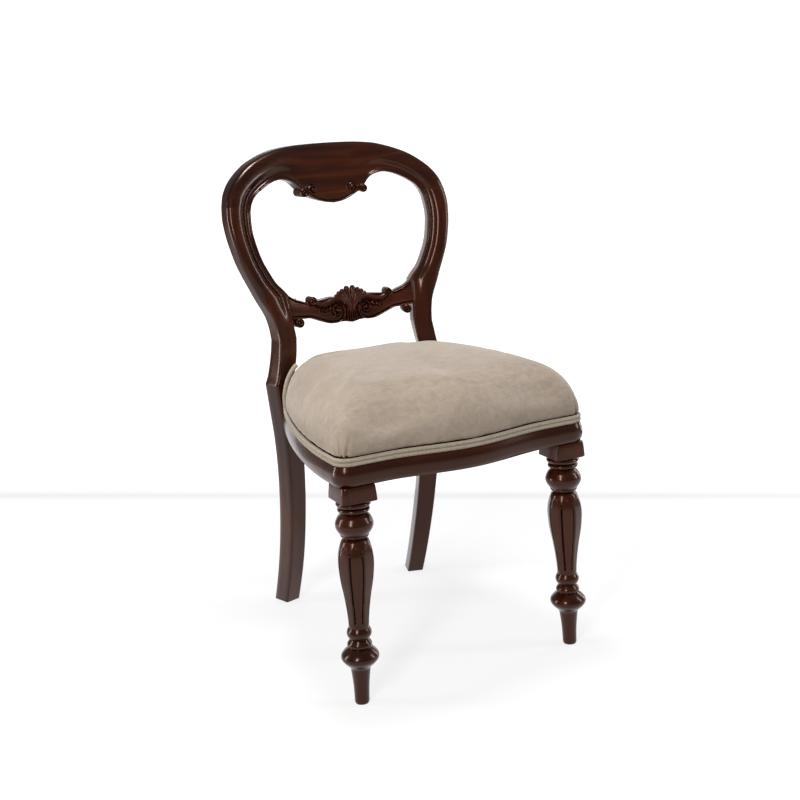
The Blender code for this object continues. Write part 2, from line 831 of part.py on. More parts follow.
def crest_dowel_ends(extra):
    """Ends of the right crest joint's dowels, each lengthened by extra."""
    inner_x, outer_x = stile_edges(CREST_JOINT_HEIGHT)
    low_inner, low_outer = stile_edges(CREST_JOINT_HEIGHT - DOWEL_SEAT)
    lean = ((low_inner + low_outer) - (inner_x + outer_x)) / 2 / DOWEL_SEAT
    ends = []
    for offset in (-CREST_DOWEL_SPREAD / 2, CREST_DOWEL_SPREAD / 2):
        x = (inner_x + outer_x) / 2 + offset
        middle = back_point(x, CREST_JOINT_HEIGHT, CREST_JOINT_THICKNESS * 0.6)
        axis = Vector((lean, -BACK_LEAN, -1)).normalized() * (DOWEL_SEAT + extra)
        ends.append((middle + axis, middle - axis))
    return ends


def cross_rail_mesh():
    """Right half of the cross rail, open at the plane of symmetry."""
    line = smooth_line([(x, low, top) for x, low, top in CROSS_RAIL_SHARES], 2)
    rings = []
    for x_share, low, top in line:
        x = x_share * CROSS_JOINT_X - (CLEARANCE if x_share == 1 else 0)
        inner = (x, CROSS_JOINT_LOW + low * CROSS_JOINT_SIZE)
        outer = (x, CROSS_JOINT_LOW + top * CROSS_JOINT_SIZE)
        rings.append(section_ring(inner, outer, CROSS_RAIL_THICKNESS, CROSS_RAIL_SECTION_SHARES))
    return loft(rings, cap_last=False)


def shell_mesh():
    """Ribbed shell that fans out above the middle of the cross rail."""
    origin = CROSS_JOINT_LOW + SHELL_ORIGIN_SHARE * CROSS_JOINT_SIZE
    steps = SHELL_RIBS * 4
    edge_angle = pi / 15
    rings = []
    for step in range(steps + 1):
        angle = between(edge_angle, pi - edge_angle, step / steps)
        ridge = abs(sin(pi * step / 4))
        scallop = between(SHELL_SCALLOP_SHARE, 1, ridge)
        reach_x = SHELL_HALF_WIDTH * cos(angle) * scallop
        reach_z = SHELL_HEIGHT * sin(angle) * scallop
        proud = SHELL_PROUD * between(SHELL_GROOVE_SHARE, 1, ridge)
        ring = []
        for reach, buried, forward in SHELL_SECTION_SHARES:
            depth = buried * CROSS_RAIL_THICKNESS - forward * proud
            ring.append(back_point(reach_x * reach, origin + reach_z * reach, depth))
        rings.append(ring)
    return loft(rings)


def volute_mesh():
    """Right C scroll beside the shell: a tapering spiral cord round a small boss."""
    centre_x = CROSS_JOINT_X * VOLUTE_X_SHARE
    centre_z = CROSS_JOINT_LOW + VOLUTE_HEIGHT_SHARE * CROSS_JOINT_SIZE
    steps = 14
    points = []
    radii = []
    for step in range(steps + 1):
        share = step / steps
        angle = -pi / 2 + VOLUTE_TURN * share
        radius = (VOLUTE_RADIUS - VOLUTE_CORD_RADIUS) * between(1, VOLUTE_EYE_SHARE, share)
        x = centre_x + radius * cos(angle)
        points.append(back_point(x, centre_z + radius * sin(angle), 0))
        radii.append(VOLUTE_CORD_RADIUS * between(1, VOLUTE_TIP_SHARE, share))
    return cord(points, radii)


def make_cross_rail():
    """Cross rail with shell, C scrolls, leaf curls, lower scrolls and dowel holes."""
    rail = add_part("cross_rail", cross_rail_mesh(), "mahogany")
    mirror(rail)
    combine(rail, add_cutter("shell", shell_mesh()), "UNION")
    combine(rail, add_cutter("c_scrolls", both_sides(volute_mesh())), "UNION", self_crossing=True)
    curl_z = CROSS_JOINT_LOW + LEAF_CURL_HEIGHT_SHARE * CROSS_JOINT_SIZE
    curl_x = CROSS_JOINT_X * LEAF_CURL_X_SHARE
    depth = CROSS_RAIL_THICKNESS * 0.7
    curl = back_rod(curl_x, curl_z, -SCROLL_PROUD, depth, LEAF_CURL_RADIUS, 12)
    combine(rail, add_cutter("leaf_curls", both_sides(curl)), "UNION")
    scroll_z = CROSS_JOINT_LOW + LOWER_SCROLL_HEIGHT_SHARE * CROSS_JOINT_SIZE
    scroll_x = CROSS_JOINT_X * LOWER_SCROLL_X_SHARE
    scroll = back_rod(scroll_x, scroll_z, -SCROLL_PROUD, depth, LOWER_SCROLL_RADIUS, 12)
    combine(rail, add_cutter("lower_scrolls", both_sides(scroll)), "UNION")
    holes = join_meshes([rod(*ends, DOWEL_RADIUS + CLEARANCE) for ends in cross_dowel_ends(CLEARANCE)])
    combine(rail, add_cutter("cross_dowel_holes", both_sides(holes)), "DIFFERENCE")


def cross_dowel_ends(extra):
    """Ends of the right cross rail joint's dowels, each lengthened by extra."""
    ends = []
    for share in (0.27, 0.73):
        height = CROSS_JOINT_LOW + share * CROSS_JOINT_SIZE
        middle = back_point(CROSS_JOINT_X, height, CROSS_RAIL_THICKNESS / 2)
        angle = face_angle(CROSS_JOINT_X, height)
        axis = Vector((cos(angle), -sin(angle), 0)) * (DOWEL_SEAT + extra)
        ends.append((middle - axis, middle + axis))
    return ends


def front_line(x):
    """Setback of the front rail's foremost line."""
    if x >= BOW_HALF_WIDTH:
        return -FRONT_OVERHANG
    return -FRONT_OVERHANG - FRONT_BOW * (1 + cos(pi * x / BOW_HALF_WIDTH)) / 2


def side_end():
    """Place where a side rail's outer line meets the rear leg."""
    outer_x = stile_edges(RAIL_LOW_HEIGHT + MOULDING_HEIGHT / 2)[1]
    return outer_x + SIDE_RAIL_PROUD, back_setback(outer_x, RAIL_LOW_HEIGHT)


def side_line(setback):
    """The x of the side rail's outermost line."""
    end_x, end_setback = side_end()
    share = (setback - FRONT_JOINT_SETBACK) / (end_setback - FRONT_JOINT_SETBACK)
    return SEAT_HALF_WIDTH - (SEAT_HALF_WIDTH - end_x) * max(share, 0) ** SIDE_CURVE_POWER


def front_station(x):
    """Place and outward direction in plan on the front line."""
    slope = (front_line(x + SLOPE_STEP) - front_line(x - SLOPE_STEP)) / (2 * SLOPE_STEP)
    return Vector((x, front_line(x))), Vector((slope, -1)).normalized()


def side_station(setback):
    """Place and outward direction in plan on the side line."""
    slope = (side_line(setback + SLOPE_STEP) - side_line(setback - SLOPE_STEP)) / (2 * SLOPE_STEP)
    if setback <= FRONT_JOINT_SETBACK:
        slope = 0
    return Vector((side_line(setback), setback)), Vector((1, -slope)).normalized()


def corner_stations():
    """Places and directions round the seat's front corner, its start left out."""
    centre = Vector((SEAT_HALF_WIDTH - SEAT_CORNER_RADIUS, SEAT_CORNER_RADIUS - FRONT_OVERHANG))
    stations = []
    for index in range(CORNER_STEPS):
        angle = pi / 2 * (index + 1) / CORNER_STEPS
        outward = Vector((sin(angle), -cos(angle)))
        stations.append((centre + outward * SEAT_CORNER_RADIUS, outward))
    return stations


def front_stations():
    """Stations of half the front line, from the middle to the corner's start."""
    stations = [front_station(BOW_HALF_WIDTH * index / FRONT_STEPS) for index in range(FRONT_STEPS)]
    stations.append(front_station(BOW_HALF_WIDTH))
    stations.append(front_station(SEAT_HALF_WIDTH - SEAT_CORNER_RADIUS))
    return stations


def side_setbacks():
    """Setbacks of the side's stations, from the front joint to the rear leg."""
    end_setback = side_end()[1]
    return [
        between(FRONT_JOINT_SETBACK, end_setback, index / SIDE_STEPS)
        for index in range(SIDE_STEPS + 1)
    ]


def rim_stations():
    """Right half of the seat's rim, from the middle of the front almost to the leg."""
    sides = [side_station(setback) for setback in side_setbacks()[:-1]]
    return front_stations() + corner_stations() + sides


def place(station, outset, height):
    """Point in the frame at an outset from a station of the rim."""
    spot = station[0] + station[1] * outset
    return Vector((spot.x, frame_y(spot.y), height))


def rail_face(station):
    """Outer points of a seat rail's section, from the bottom edge to the top."""
    points = []
    for projection, rise in RAIL_PROFILE_SHARES:
        height = RAIL_LOW_HEIGHT + rise * MOULDING_HEIGHT
        points.append(place(station, projection * MOULDING_PROJECTION, height))
    points.append(place(station, -REBATE_DEPTH, RAIL_LOW_HEIGHT + MOULDING_HEIGHT))
    points.append(place(station, -REBATE_DEPTH, RAIL_TOP_HEIGHT))
    return points


def front_rail_mesh():
    """Right half of the front rail with its built-out end, open at x = 0."""
    turning = corner_stations() + [side_station(FRONT_JOINT_SETBACK)]
    rings = []
    for station in front_stations():
        inner = Vector((min(station[0].x, RAIL_END_X), frame_y(FRONT_RAIL_INNER_SETBACK), 0))
        rings.append((station, inner))
    for index, station in enumerate(turning):
        share = (index + 1) / len(turning)
        setback = between(FRONT_RAIL_INNER_SETBACK, FRONT_JOINT_SETBACK, share)
        rings.append((station, Vector((RAIL_END_X, frame_y(setback), 0))))
    sections = []
    for station, inner in rings:
        top = inner + Vector((0, 0, RAIL_TOP_HEIGHT))
        low = inner + Vector((0, 0, RAIL_LOW_HEIGHT))
        sections.append(rail_face(station) + [top, low])
    return loft(sections, cap_first=False)


def make_front_rail():
    """Front seat rail with sockets for the legs and holes for dowels and screws."""
    rail = add_part("front_seat_rail", front_rail_mesh(), "mahogany")
    mirror(rail)
    foot = Vector((FRONT_LEG_X, frame_y(0), RAIL_LOW_HEIGHT - OVERRUN))
    top = Vector((FRONT_LEG_X, frame_y(0), RAIL_LOW_HEIGHT + SPIGOT_HEIGHT + CLEARANCE))
    socket = rod(foot, top, SPIGOT_RADIUS + CLEARANCE, ROUND_SIDES)
    combine(rail, add_cutter("leg_sockets", both_sides(socket)), "DIFFERENCE")
    holes = join_meshes([rod(*ends, DOWEL_RADIUS + CLEARANCE) for ends in front_dowel_ends(CLEARANCE)])
    combine(rail, add_cutter("front_dowel_holes", both_sides(holes)), "DIFFERENCE")
    pilot = screw_pilot(*front_block_screws()[0])
    combine(rail, add_cutter("front_rail_pilots", both_sides(pilot)), "DIFFERENCE")


def dowel_heights():
    """Heights of the two dowels in each end of a seat rail."""
    return (RAIL_LOW_HEIGHT + 0.25 * MOULDING_HEIGHT + SCREW_RADIUS, RAIL_LOW_HEIGHT + 0.93 * MOULDING_HEIGHT)


def front_dowel_ends(extra):
    """Ends of the right dowels between the front rail and the side rail."""
    x = SEAT_HALF_WIDTH - (RAIL_THICKNESS + REBATE_DEPTH) / 2
    ends = []
    for height in dowel_heights():
        start = Vector((x, frame_y(FRONT_JOINT_SETBACK) - DOWEL_SEAT - extra, height))
        end = Vector((x, frame_y(FRONT_JOINT_SETBACK) + DOWEL_SEAT + extra, height))
        ends.append((start, end))
    return ends


def slide_to_leg(point, direction):
    """Slide a point of the side rail along the rail until it meets the rear leg."""
    for _ in range(8):
        wanted = frame_y(back_setback(point.x, point.z)) - CLEARANCE
        point = point + direction * (wanted - point.y) / direction.y
    return point


def side_rail_mesh():
    """Right side rail from the front joint to the face of the rear leg."""
    sections = []
    setbacks = side_setbacks()
    for index, setback in enumerate(setbacks):
        station = side_station(setback)
        ring = rail_face(station)
        ring.append(place(station, -RAIL_THICKNESS, RAIL_TOP_HEIGHT))
        ring.append(place(station, -RAIL_THICKNESS, RAIL_LOW_HEIGHT))
        along = Vector((-station[1].y, station[1].x, 0))
        if index == 0:
            front = frame_y(setback + CLEARANCE)
            ring = [point + along * (front - point.y) / along.y for point in ring]
        if index == len(setbacks) - 1:
            ring = [slide_to_leg(point, along) for point in ring]
        sections.append(ring)
    return loft(sections)


def side_dowel_ends(extra):
    """Ends of the right dowels between the side rail and the rear leg."""
    x = side_end()[0] - (RAIL_THICKNESS + REBATE_DEPTH) / 2
    ends = []
    for height in dowel_heights():
        middle = frame_y(back_setback(x, height))
        start = Vector((x, middle - DOWEL_SEAT - extra, height))
        end = Vector((x, middle + DOWEL_SEAT + extra, height))
        ends.append((start, end))
    return ends


def make_side_rail(name, side):
    """One side rail with its dowel and screw holes."""
    rail = add_part(name, sided(side_rail_mesh(), side), "mahogany")
    ends = front_dowel_ends(CLEARANCE) + side_dowel_ends(CLEARANCE)
    holes = join_meshes([rod(*pair, DOWEL_RADIUS + CLEARANCE) for pair in ends])
    combine(rail, add_cutter(f"{name}_dowel_holes", sided(holes, side)), "DIFFERENCE")
    pilots = join_meshes([
        screw_pilot(*front_block_screws()[1]),
        screw_pilot(*rear_block_screws()[1]),
    ])
    combine(rail, add_cutter(f"{name}_pilots", sided(pilots, side)), "DIFFERENCE")


def rear_rail_front():
    """Setback of the rear rail's front face."""
    inner_x = stile_edges(RAIL_LOW_HEIGHT)[0]
    return back_setback(inner_x, RAIL_LOW_HEIGHT) + REAR_RAIL_INSET


def leg_inner_x(setback, height):
    """The x of the rear leg's inner side at a setback."""
    inner_x = stile_edges(height)[0]
    angle = face_angle(inner_x, height)
    depth = (setback - back_setback(inner_x, height)) / cos(angle)
    return inner_x + depth * sin(angle)


def rear_rail_mesh():
    """Rear rail between the inner sides of the rear legs."""
    front = rear_rail_front()
    ring = []
    for setback, height in (
        (front, RAIL_LOW_HEIGHT),
        (front + REAR_RAIL_THICKNESS, RAIL_LOW_HEIGHT),
        (front + REAR_RAIL_THICKNESS, RAIL_TOP_HEIGHT),
        (front, RAIL_TOP_HEIGHT),
    ):
        x = leg_inner_x(setback, height) - CLEARANCE * 1.2
        ring.append(Vector((x, frame_y(setback), height)))
    left = [Vector((-point.x, point.y, point.z)) for point in ring]
    return loft([left, ring])


def rear_dowel_ends(extra):
    """Ends of the right dowels between the rear rail and the rear leg."""
    setback = rear_rail_front() + REAR_RAIL_THICKNESS / 2
    ends = []
    for height in dowel_heights():
        x = leg_inner_x(setback, height)
        start = Vector((x - DOWEL_SEAT - extra, frame_y(setback), height))
        end = Vector((x + DOWEL_SEAT * 0.8 + extra, frame_y(setback), height))
        ends.append((start, end))
    return ends


def make_rear_rail():
    """Rear seat rail with dowel and screw holes."""
    rail = add_part("rear_seat_rail", rear_rail_mesh(), "mahogany")
    holes = join_meshes([rod(*ends, DOWEL_RADIUS + CLEARANCE) for ends in rear_dowel_ends(CLEARANCE)])
    combine(rail, add_cutter("rear_dowel_holes", both_sides(holes)), "DIFFERENCE")
    pilot = screw_pilot(*rear_block_screws()[0])
    combine(rail, add_cutter("rear_rail_pilots", both_sides(pilot)), "DIFFERENCE")


def make_rear_leg(name, side):
    """One rear leg with the holes of its four joints."""
    leg = add_part(name, sided(rear_leg_mesh(), side), "mahogany")
    ends = (
        crest_dowel_ends(CLEARANCE)
        + cross_dowel_ends(CLEARANCE)
        + side_dowel_ends(CLEARANCE)
        + rear_dowel_ends(CLEARANCE)
    )
    holes = join_meshes([rod(*pair, DOWEL_RADIUS + CLEARANCE) for pair in ends])
    combine(leg, add_cutter(f"{name}_holes", sided(holes, side)), "DIFFERENCE")


def turned_profile():
    """Leg profile as (radius, z) points, from the spigot's top to the floor."""
    turned_height = RAIL_LOW_HEIGHT - CLEARANCE - LEG_BLOCK_HEIGHT
    points = [(0, 0), (FOOT_RADIUS_SHARE * TURNED_RADIUS, 0)]
    for top, radius_share, swell, steps in TURNED_SHARES:
        low_radius, low = points[-1]
        radius = radius_share * TURNED_RADIUS
        height = top * turned_height
        for step in range(1, steps + 1):
            share = step / steps
            bulge = swell * TURNED_RADIUS * sin(pi * share)
            points.append((between(low_radius, radius, share) + bulge, between(low, height, share)))
    collar_radius, collar_top = points[-1]
    spigot_top = RAIL_LOW_HEIGHT + SPIGOT_HEIGHT
    points.append((collar_radius, collar_top + OVERRUN))
    points.append((SPIGOT_RADIUS, collar_top + OVERRUN))
    points.append((SPIGOT_RADIUS, spigot_top))
    points.append((0, spigot_top))
    return points[::-1]


def cut_facets(shape):
    """Cut the bulb of a turned leg into flat facets with a groove at each arris."""
    turned_height = RAIL_LOW_HEIGHT - CLEARANCE - LEG_BLOCK_HEIGHT
    low = BULB_LOW_SHARE * turned_height
    top = BULB_TOP_SHARE * turned_height
    pitch = 2 * pi / BULB_FACETS
    for corner in shape.verts:
        depth = min((corner.co.z - low) / FACET_RAMP, (top - corner.co.z) / FACET_RAMP)
        radius = hypot(corner.co.x, corner.co.y)
        if depth <= 0 or radius == 0:
            continue
        turn = (corner.co.xy.angle_signed(Vector((0, 1))) / pitch) % 1
        groove = max(0, 1 - 4 * min(turn, 1 - turn))
        cut = ease(depth) * groove * FACET_GROOVE
        corner.co.x *= (radius - cut) / radius
        corner.co.y *= (radius - cut) / radius


def make_front_leg(name, side):
    """One front leg: turned and faceted below, with a square block and a spigot."""
    shape = bmesh.new()
    shape.from_mesh(turned(turned_profile(), ROUND_SIDES))
    cut_facets(shape)
    splay_top = 0.94 * (RAIL_LOW_HEIGHT - LEG_BLOCK_HEIGHT)
    for corner in shape.verts:
        drop = max(0, splay_top - corner.co.z)
        corner.co.x += side * (FRONT_LEG_X + LEG_SPLAY * drop)
        corner.co.y += frame_y(0)
    leg = add_part(name, finish_mesh(shape), "mahogany")
    block = bmesh.new()
    bmesh.ops.create_cube(block, size=1)
    top = RAIL_LOW_HEIGHT - CLEARANCE
    for corner in block.verts:
        half = LEG_BLOCK_WIDTH / 2 + (LEG_BLOCK_FLARE if corner.co.z < 0 else 0)
        corner.co.x = side * FRONT_LEG_X + (half if corner.co.x > 0 else -half)
        corner.co.y = frame_y(0) + (half if corner.co.y > 0 else -half)
        corner.co.z = top if corner.co.z > 0 else top - LEG_BLOCK_HEIGHT
    upright = [edge for edge in block.edges if abs(edge.verts[0].co.z - edge.verts[1].co.z) > OVERRUN]
    bmesh.ops.bevel(block, geom=upright, offset=LEG_BLOCK_BEVEL, segments=2, profile=0.5, affect="EDGES")
    combine(leg, add_cutter(f"{name}_block", finish_mesh(block)), "UNION")


def inner_side_point(setback, gap):
    """Point in plan at a gap inside a side rail's inner face."""
    station = side_station(setback)
    return station[0] - station[1] * (RAIL_THICKNESS + gap)


def inner_side_x(setback, gap):
    """The x at a setback of a line at a gap inside a side rail's inner face."""
    start = setback
    for _ in range(6):
        start += setback - inner_side_point(start, gap).y
    return inner_side_point(start, gap).x


def front_block_outline():
    """Plan of the right front corner block, as x and setback."""
    joint = FRONT_JOINT_SETBACK + CLEARANCE
    corner = Vector((SEAT_HALF_WIDTH - RAIL_THICKNESS - CLEARANCE, joint))
    end = Vector((inner_side_x(joint + BLOCK_LENGTH, 2 * CLEARANCE), joint + BLOCK_LENGTH))
    return [
        corner,
        end,
        end - Vector((BLOCK_NOSE, 0)),
        corner + Vector((-FRONT_BLOCK_ARM, BLOCK_NOSE)),
        corner - Vector((FRONT_BLOCK_ARM, 0)),
    ]


def rear_block_outline():
    """Plan of the right rear corner block, notched round the rear leg."""
    leg_x, leg_setback = rear_block_notch()
    rail_front = rear_rail_front() - CLEARANCE
    corner_y = leg_setback
    for _ in range(6):
        corner_y = back_setback(inner_side_x(corner_y, 0), RAIL_LOW_HEIGHT) - 2 * CLEARANCE
    corner = Vector((inner_side_x(corner_y, 2 * CLEARANCE), corner_y))
    end_y = corner_y - BLOCK_LENGTH
    end = Vector((inner_side_x(end_y, 2 * CLEARANCE), end_y))
    return [
        corner,
        Vector((leg_x, leg_setback)),
        Vector((leg_x, rail_front)),
        Vector((leg_x - REAR_BLOCK_ARM, rail_front)),
        Vector((leg_x - REAR_BLOCK_ARM, rail_front - BLOCK_NOSE)),
        end - Vector((BLOCK_NOSE, 0)),
        end,
    ]


def rear_block_notch():
    """Corner of the rear block's notch, just off the leg's inner front edge."""
    leg_x = stile_edges(RAIL_LOW_HEIGHT)[0] - 2 * CLEARANCE
    return leg_x, back_setback(leg_x, RAIL_LOW_HEIGHT) - 2 * CLEARANCE


def block_middle():
    """Height of the middle of the corner blocks."""
    return RAIL_LOW_HEIGHT + BLOCK_LIFT + BLOCK_HEIGHT / 2


def front_block_screws():
    """Right front block's screws: point on the rail's face and direction into it."""
    joint = FRONT_JOINT_SETBACK
    x = SEAT_HALF_WIDTH - RAIL_THICKNESS - FRONT_BLOCK_ARM * 0.8
    into_front = (Vector((x, frame_y(joint), block_middle())), Vector((0, -1, 0)))
    spot = inner_side_point(joint + BLOCK_LENGTH * 0.8, 0)
    outward = side_station(spot.y)[1]
    into_side = (Vector((spot.x, frame_y(spot.y), block_middle())), Vector((*outward, 0)))
    return into_front, into_side


def rear_block_screws():
    """Right rear block's screws: point on the rail's face and direction into it."""
    leg_x, leg_setback = rear_block_notch()
    x = leg_x - REAR_BLOCK_ARM * 0.7
    into_rear = (Vector((x, frame_y(rear_rail_front()), block_middle())), Vector((0, 1, 0)))
    spot = inner_side_point(side_end()[1] - BLOCK_LENGTH * 0.8, 0)
    outward = side_station(spot.y)[1]
    into_side = (Vector((spot.x, frame_y(spot.y), block_middle())), Vector((*outward, 0)))
    return into_rear, into_side


def screw_pilot(spot, direction):
    """Blind hole for a screw's shank in a rail."""
    start = spot - direction * OVERRUN
    end = spot + direction * (SCREW_LENGTH - SCREW_GRIP + CLEARANCE)
    return rod(start, end, SCREW_RADIUS + CLEARANCE)


def along_direction(mesh, spot, direction):
    """Place a shape made along Z so that its Z runs along a direction."""
    turn = direction.to_track_quat("Z", "Y").to_matrix().to_4x4()
    mesh.transform(Matrix.Translation(spot) @ turn)
    return mesh


def screw_mesh(spot, direction):
    """Countersunk screw, its shank along the direction into the rail."""
    tip = SCREW_LENGTH - SCREW_GRIP
    head = -SCREW_GRIP
    profile = [
        (0, tip),
        (SCREW_RADIUS, tip - SCREW_RADIUS),
        (SCREW_RADIUS, head + SCREW_HEAD_HEIGHT),
        (SCREW_HEAD_RADIUS, head),
        (0, head),
    ]
    return along_direction(turned(profile, SMALL_SIDES), spot, direction)


def screw_passage(spot, direction):
    """Hole for a screw through a corner block, with room for its head."""
    head = -SCREW_GRIP
    profile = [
        (0, OVERRUN),
        (SCREW_RADIUS + CLEARANCE, OVERRUN),
        (SCREW_RADIUS + CLEARANCE, head + SCREW_HEAD_HEIGHT),
        (SCREW_HEAD_RADIUS + CLEARANCE, head + CLEARANCE),
        (SCREW_HEAD_RADIUS + CLEARANCE, head - BLOCK_LENGTH),
        (0, head - BLOCK_LENGTH),
    ]
    return along_direction(turned(profile, SMALL_SIDES), spot, direction)


def make_corner_block(name, side, outline, screws):
    """One corner block with the passages of its two screws."""
    plan = [(spot.x, frame_y(spot.y)) for spot in outline]
    board = plate(plan, RAIL_LOW_HEIGHT + BLOCK_LIFT, BLOCK_HEIGHT)
    block = add_part(name, sided(board, side), "beech")
    passages = join_meshes([screw_passage(*screw) for screw in screws])
    combine(block, add_cutter(f"{name}_passages", sided(passages, side)), "DIFFERENCE", self_crossing=True)


def make_fasteners():
    """Dowels and screws of both sides, each its own part."""
    dowels = (
        ("crest_dowel", ("inner", "outer"), crest_dowel_ends(0)),
        ("cross_rail_dowel", ("lower", "upper"), cross_dowel_ends(0)),
        ("front_corner_dowel", ("lower", "upper"), front_dowel_ends(0)),
        ("side_rail_dowel", ("lower", "upper"), side_dowel_ends(0)),
        ("rear_rail_dowel", ("lower", "upper"), rear_dowel_ends(0)),
    )
    screws = (
        ("front_block_screw", ("front", "side"), front_block_screws()),
        ("rear_block_screw", ("rear", "side"), rear_block_screws()),
    )
    for side, word in ((1, "right"), (-1, "left")):
        for kind, places, ends in dowels:
            for spot, pair in zip(places, ends):
                peg = sided(rod(*pair, DOWEL_RADIUS), side)
                add_part(f"{kind}_{spot}_{word}", peg, "beech")
        for kind, places, screw_list in screws:
            for spot, screw in zip(places, screw_list):
                add_part(f"{kind}_{spot}_{word}", sided(screw_mesh(*screw), side), "steel")


def strap_levels():
    """Middle heights of the lower and the upper webbing layer."""
    low = RAIL_TOP_HEIGHT + CLEARANCE + WEBBING_THICKNESS / 2
    return low, low + WEBBING_THICKNESS + CLEARANCE


def tacking_x(setback):
    """The x that webbing and hessian reach at a side."""
    station = side_station(setback)
    return (station[0] - station[1] * (REBATE_DEPTH + TACKING_MARGIN)).x


def cross_strap_setbacks():
    """Middle setbacks of the straps that run from side to side."""
    front = FRONT_RAIL_INNER_SETBACK
    pitch = (rear_rail_front() - front) / CROSS_STRAPS
    return [front + pitch * (index + 0.5) for index in range(CROSS_STRAPS)]


def long_strap_places():
    """Middle x of the straps that run from front to back."""
    pitch = SEAT_HALF_WIDTH * LONG_STRAP_PITCH_SHARE
    return [(index - (LONG_STRAPS - 1) / 2) * pitch for index in range(LONG_STRAPS)]


def strap_mesh(edges):
    """Flat strap through pairs of edge points, thickened up and down."""
    lift = Vector((0, 0, WEBBING_THICKNESS / 2))
    return loft([[first - lift, second - lift, second + lift, first + lift] for first, second in edges])


def webbing_meshes():
    """Straps that pass over and under each other in turn."""
    low, high = strap_levels()
    half = WEBBING_WIDTH / 2
    reach = half + WEBBING_THICKNESS
    straps = []
    for row, setback in enumerate(cross_strap_setbacks()):
        edges = []
        ends = [(tacking_x(setback - half), tacking_x(setback + half))]
        stops = []
        for column, x in enumerate(long_strap_places()):
            level = high if (row + column) % 2 else low
            stops += [(x - reach, level), (x + reach, level)]
        for x_front, x_back in ends:
            edges.append((Vector((-x_front, frame_y(setback - half), low)),
                          Vector((-x_back, frame_y(setback + half), low))))
            for x, level in stops:
                edges.append((Vector((x, frame_y(setback - half), level)),
                              Vector((x, frame_y(setback + half), level))))
            edges.append((Vector((x_front, frame_y(setback - half), low)),
                          Vector((x_back, frame_y(setback + half), low))))
        straps.append(strap_mesh(edges))
    for column, x in enumerate(long_strap_places()):
        spots = [(front_tack(abs(x) + half), low)]
        for row, setback in enumerate(cross_strap_setbacks()):
            level = low if (row + column) % 2 else high
            spots += [(setback - reach, level), (setback + reach, level)]
        spots.append((rear_rail_front() + REAR_RAIL_THICKNESS - TACKING_MARGIN, low))
        edges = []
        for setback, level in spots:
            edges.append((Vector((x + half, frame_y(setback), level)),
                          Vector((x - half, frame_y(setback), level))))
        straps.append(strap_mesh(edges))
    return straps


def make_webbing():
    """Each strap of the webbing as its own part."""
    names = [f"seat_strap_cross_{index + 1}" for index in range(CROSS_STRAPS)]
    names += [f"seat_strap_long_{index + 1}" for index in range(LONG_STRAPS)]
    for name, mesh in zip(names, webbing_meshes()):
        add_part(name, mesh, "jute")


def front_tack(x):
    """Setback that webbing and hessian reach at the front."""
    return front_line(x) + REBATE_DEPTH + TACKING_MARGIN


def hessian_height():
    """Underside of the hessian."""
    return strap_levels()[1] + WEBBING_THICKNESS / 2 + CLEARANCE


def half_to_whole(points):
    """Closed plan outline in the frame from its right half, front to back."""
    right = [(point[0], frame_y(point[1])) for point in points]
    return right + [(-x, y) for x, y in reversed(right)]


def make_hessian():
    """Sheet over the webbing, cut to the rails and round the rear legs."""
    depth = REBATE_DEPTH + TACKING_MARGIN
    points = []
    for station in rim_stations()[1:]:
        points.append(station[0] - station[1] * depth)
    leg_front = side_end()[1] - 2 * TACKING_MARGIN
    points.append(Vector((tacking_x(leg_front), leg_front)))
    inner_x = stile_edges(RAIL_LOW_HEIGHT)[0] - TACKING_MARGIN
    points.append(Vector((inner_x, leg_front)))
    points.append(Vector((inner_x, rear_rail_front() + REAR_RAIL_THICKNESS - TACKING_MARGIN)))
    sheet = plate(half_to_whole(points), hessian_height(), HESSIAN_THICKNESS)
    add_part("seat_hessian", sheet, "hessian")


def make_dust_cover():
    """Cloth under the frame, cut round the leg blocks and the rear legs."""
    margin = MOULDING_PROJECTION * 2
    block = LEG_BLOCK_WIDTH / 2 + LEG_BLOCK_FLARE + TACKING_MARGIN
    points = []
    for share in (0.25, 0.5, 0.75, 1.0):
        x = BOW_HALF_WIDTH * share
        points.append(Vector((x, front_line(x) + margin)))
    points.append(Vector((FRONT_LEG_X - block, front_line(BOW_HALF_WIDTH) + margin)))
    points.append(Vector((FRONT_LEG_X - block, block)))
    leg_front = side_end()[1] - TACKING_MARGIN * 2
    for index in range(6):
        setback = between(block, leg_front, index / 5)
        station = side_station(setback)
        points.append(Vector((station[0].x - margin, setback)))
    inner_x = stile_edges(RAIL_LOW_HEIGHT)[0] - TACKING_MARGIN
    points.append(Vector((inner_x, leg_front)))
    points.append(Vector((inner_x, rear_rail_front() + REAR_RAIL_THICKNESS - 2 * TACKING_MARGIN)))
    low = RAIL_LOW_HEIGHT - CLEARANCE - DUST_CLOTH_THICKNESS
    add_part("dust_cover", plate(half_to_whole(points), low, DUST_CLOTH_THICKNESS), "dust_cloth")


def cover_tuck():
    """Rows of the cover's lower edge behind and over the piping: outset, height."""
    behind = -REBATE_DEPTH + CLEARANCE + COVER_THICKNESS
    low = RAIL_LOW_HEIGHT + MOULDING_HEIGHT + CLEARANCE
    top = low + 2 * PIPING_DIAMETER + CLEARANCE + COVER_THICKNESS
    return [(behind, low), (behind, top - COVER_THICKNESS), (behind + COVER_THICKNESS, top)]


def cushion_base():
    """Height at which the cushion's side starts, just over the piping."""
    return cover_tuck()[-1][1]


def wall_foot():
    """Height at which the cover's edge ends where it stands on the hessian."""
    return hessian_height() + HESSIAN_THICKNESS + 2 * COVER_THICKNESS


def leg_wall_point(setback):
    """Place in plan on the rear leg's inner side, off it by the seat's clearance."""
    heights = (RAIL_TOP_HEIGHT, KNEE_HEIGHT, BEND_START_HEIGHT)
    x = min(leg_inner_x(setback, height) for height in heights)
    return Vector((x - 3 * CLEARANCE, setback))


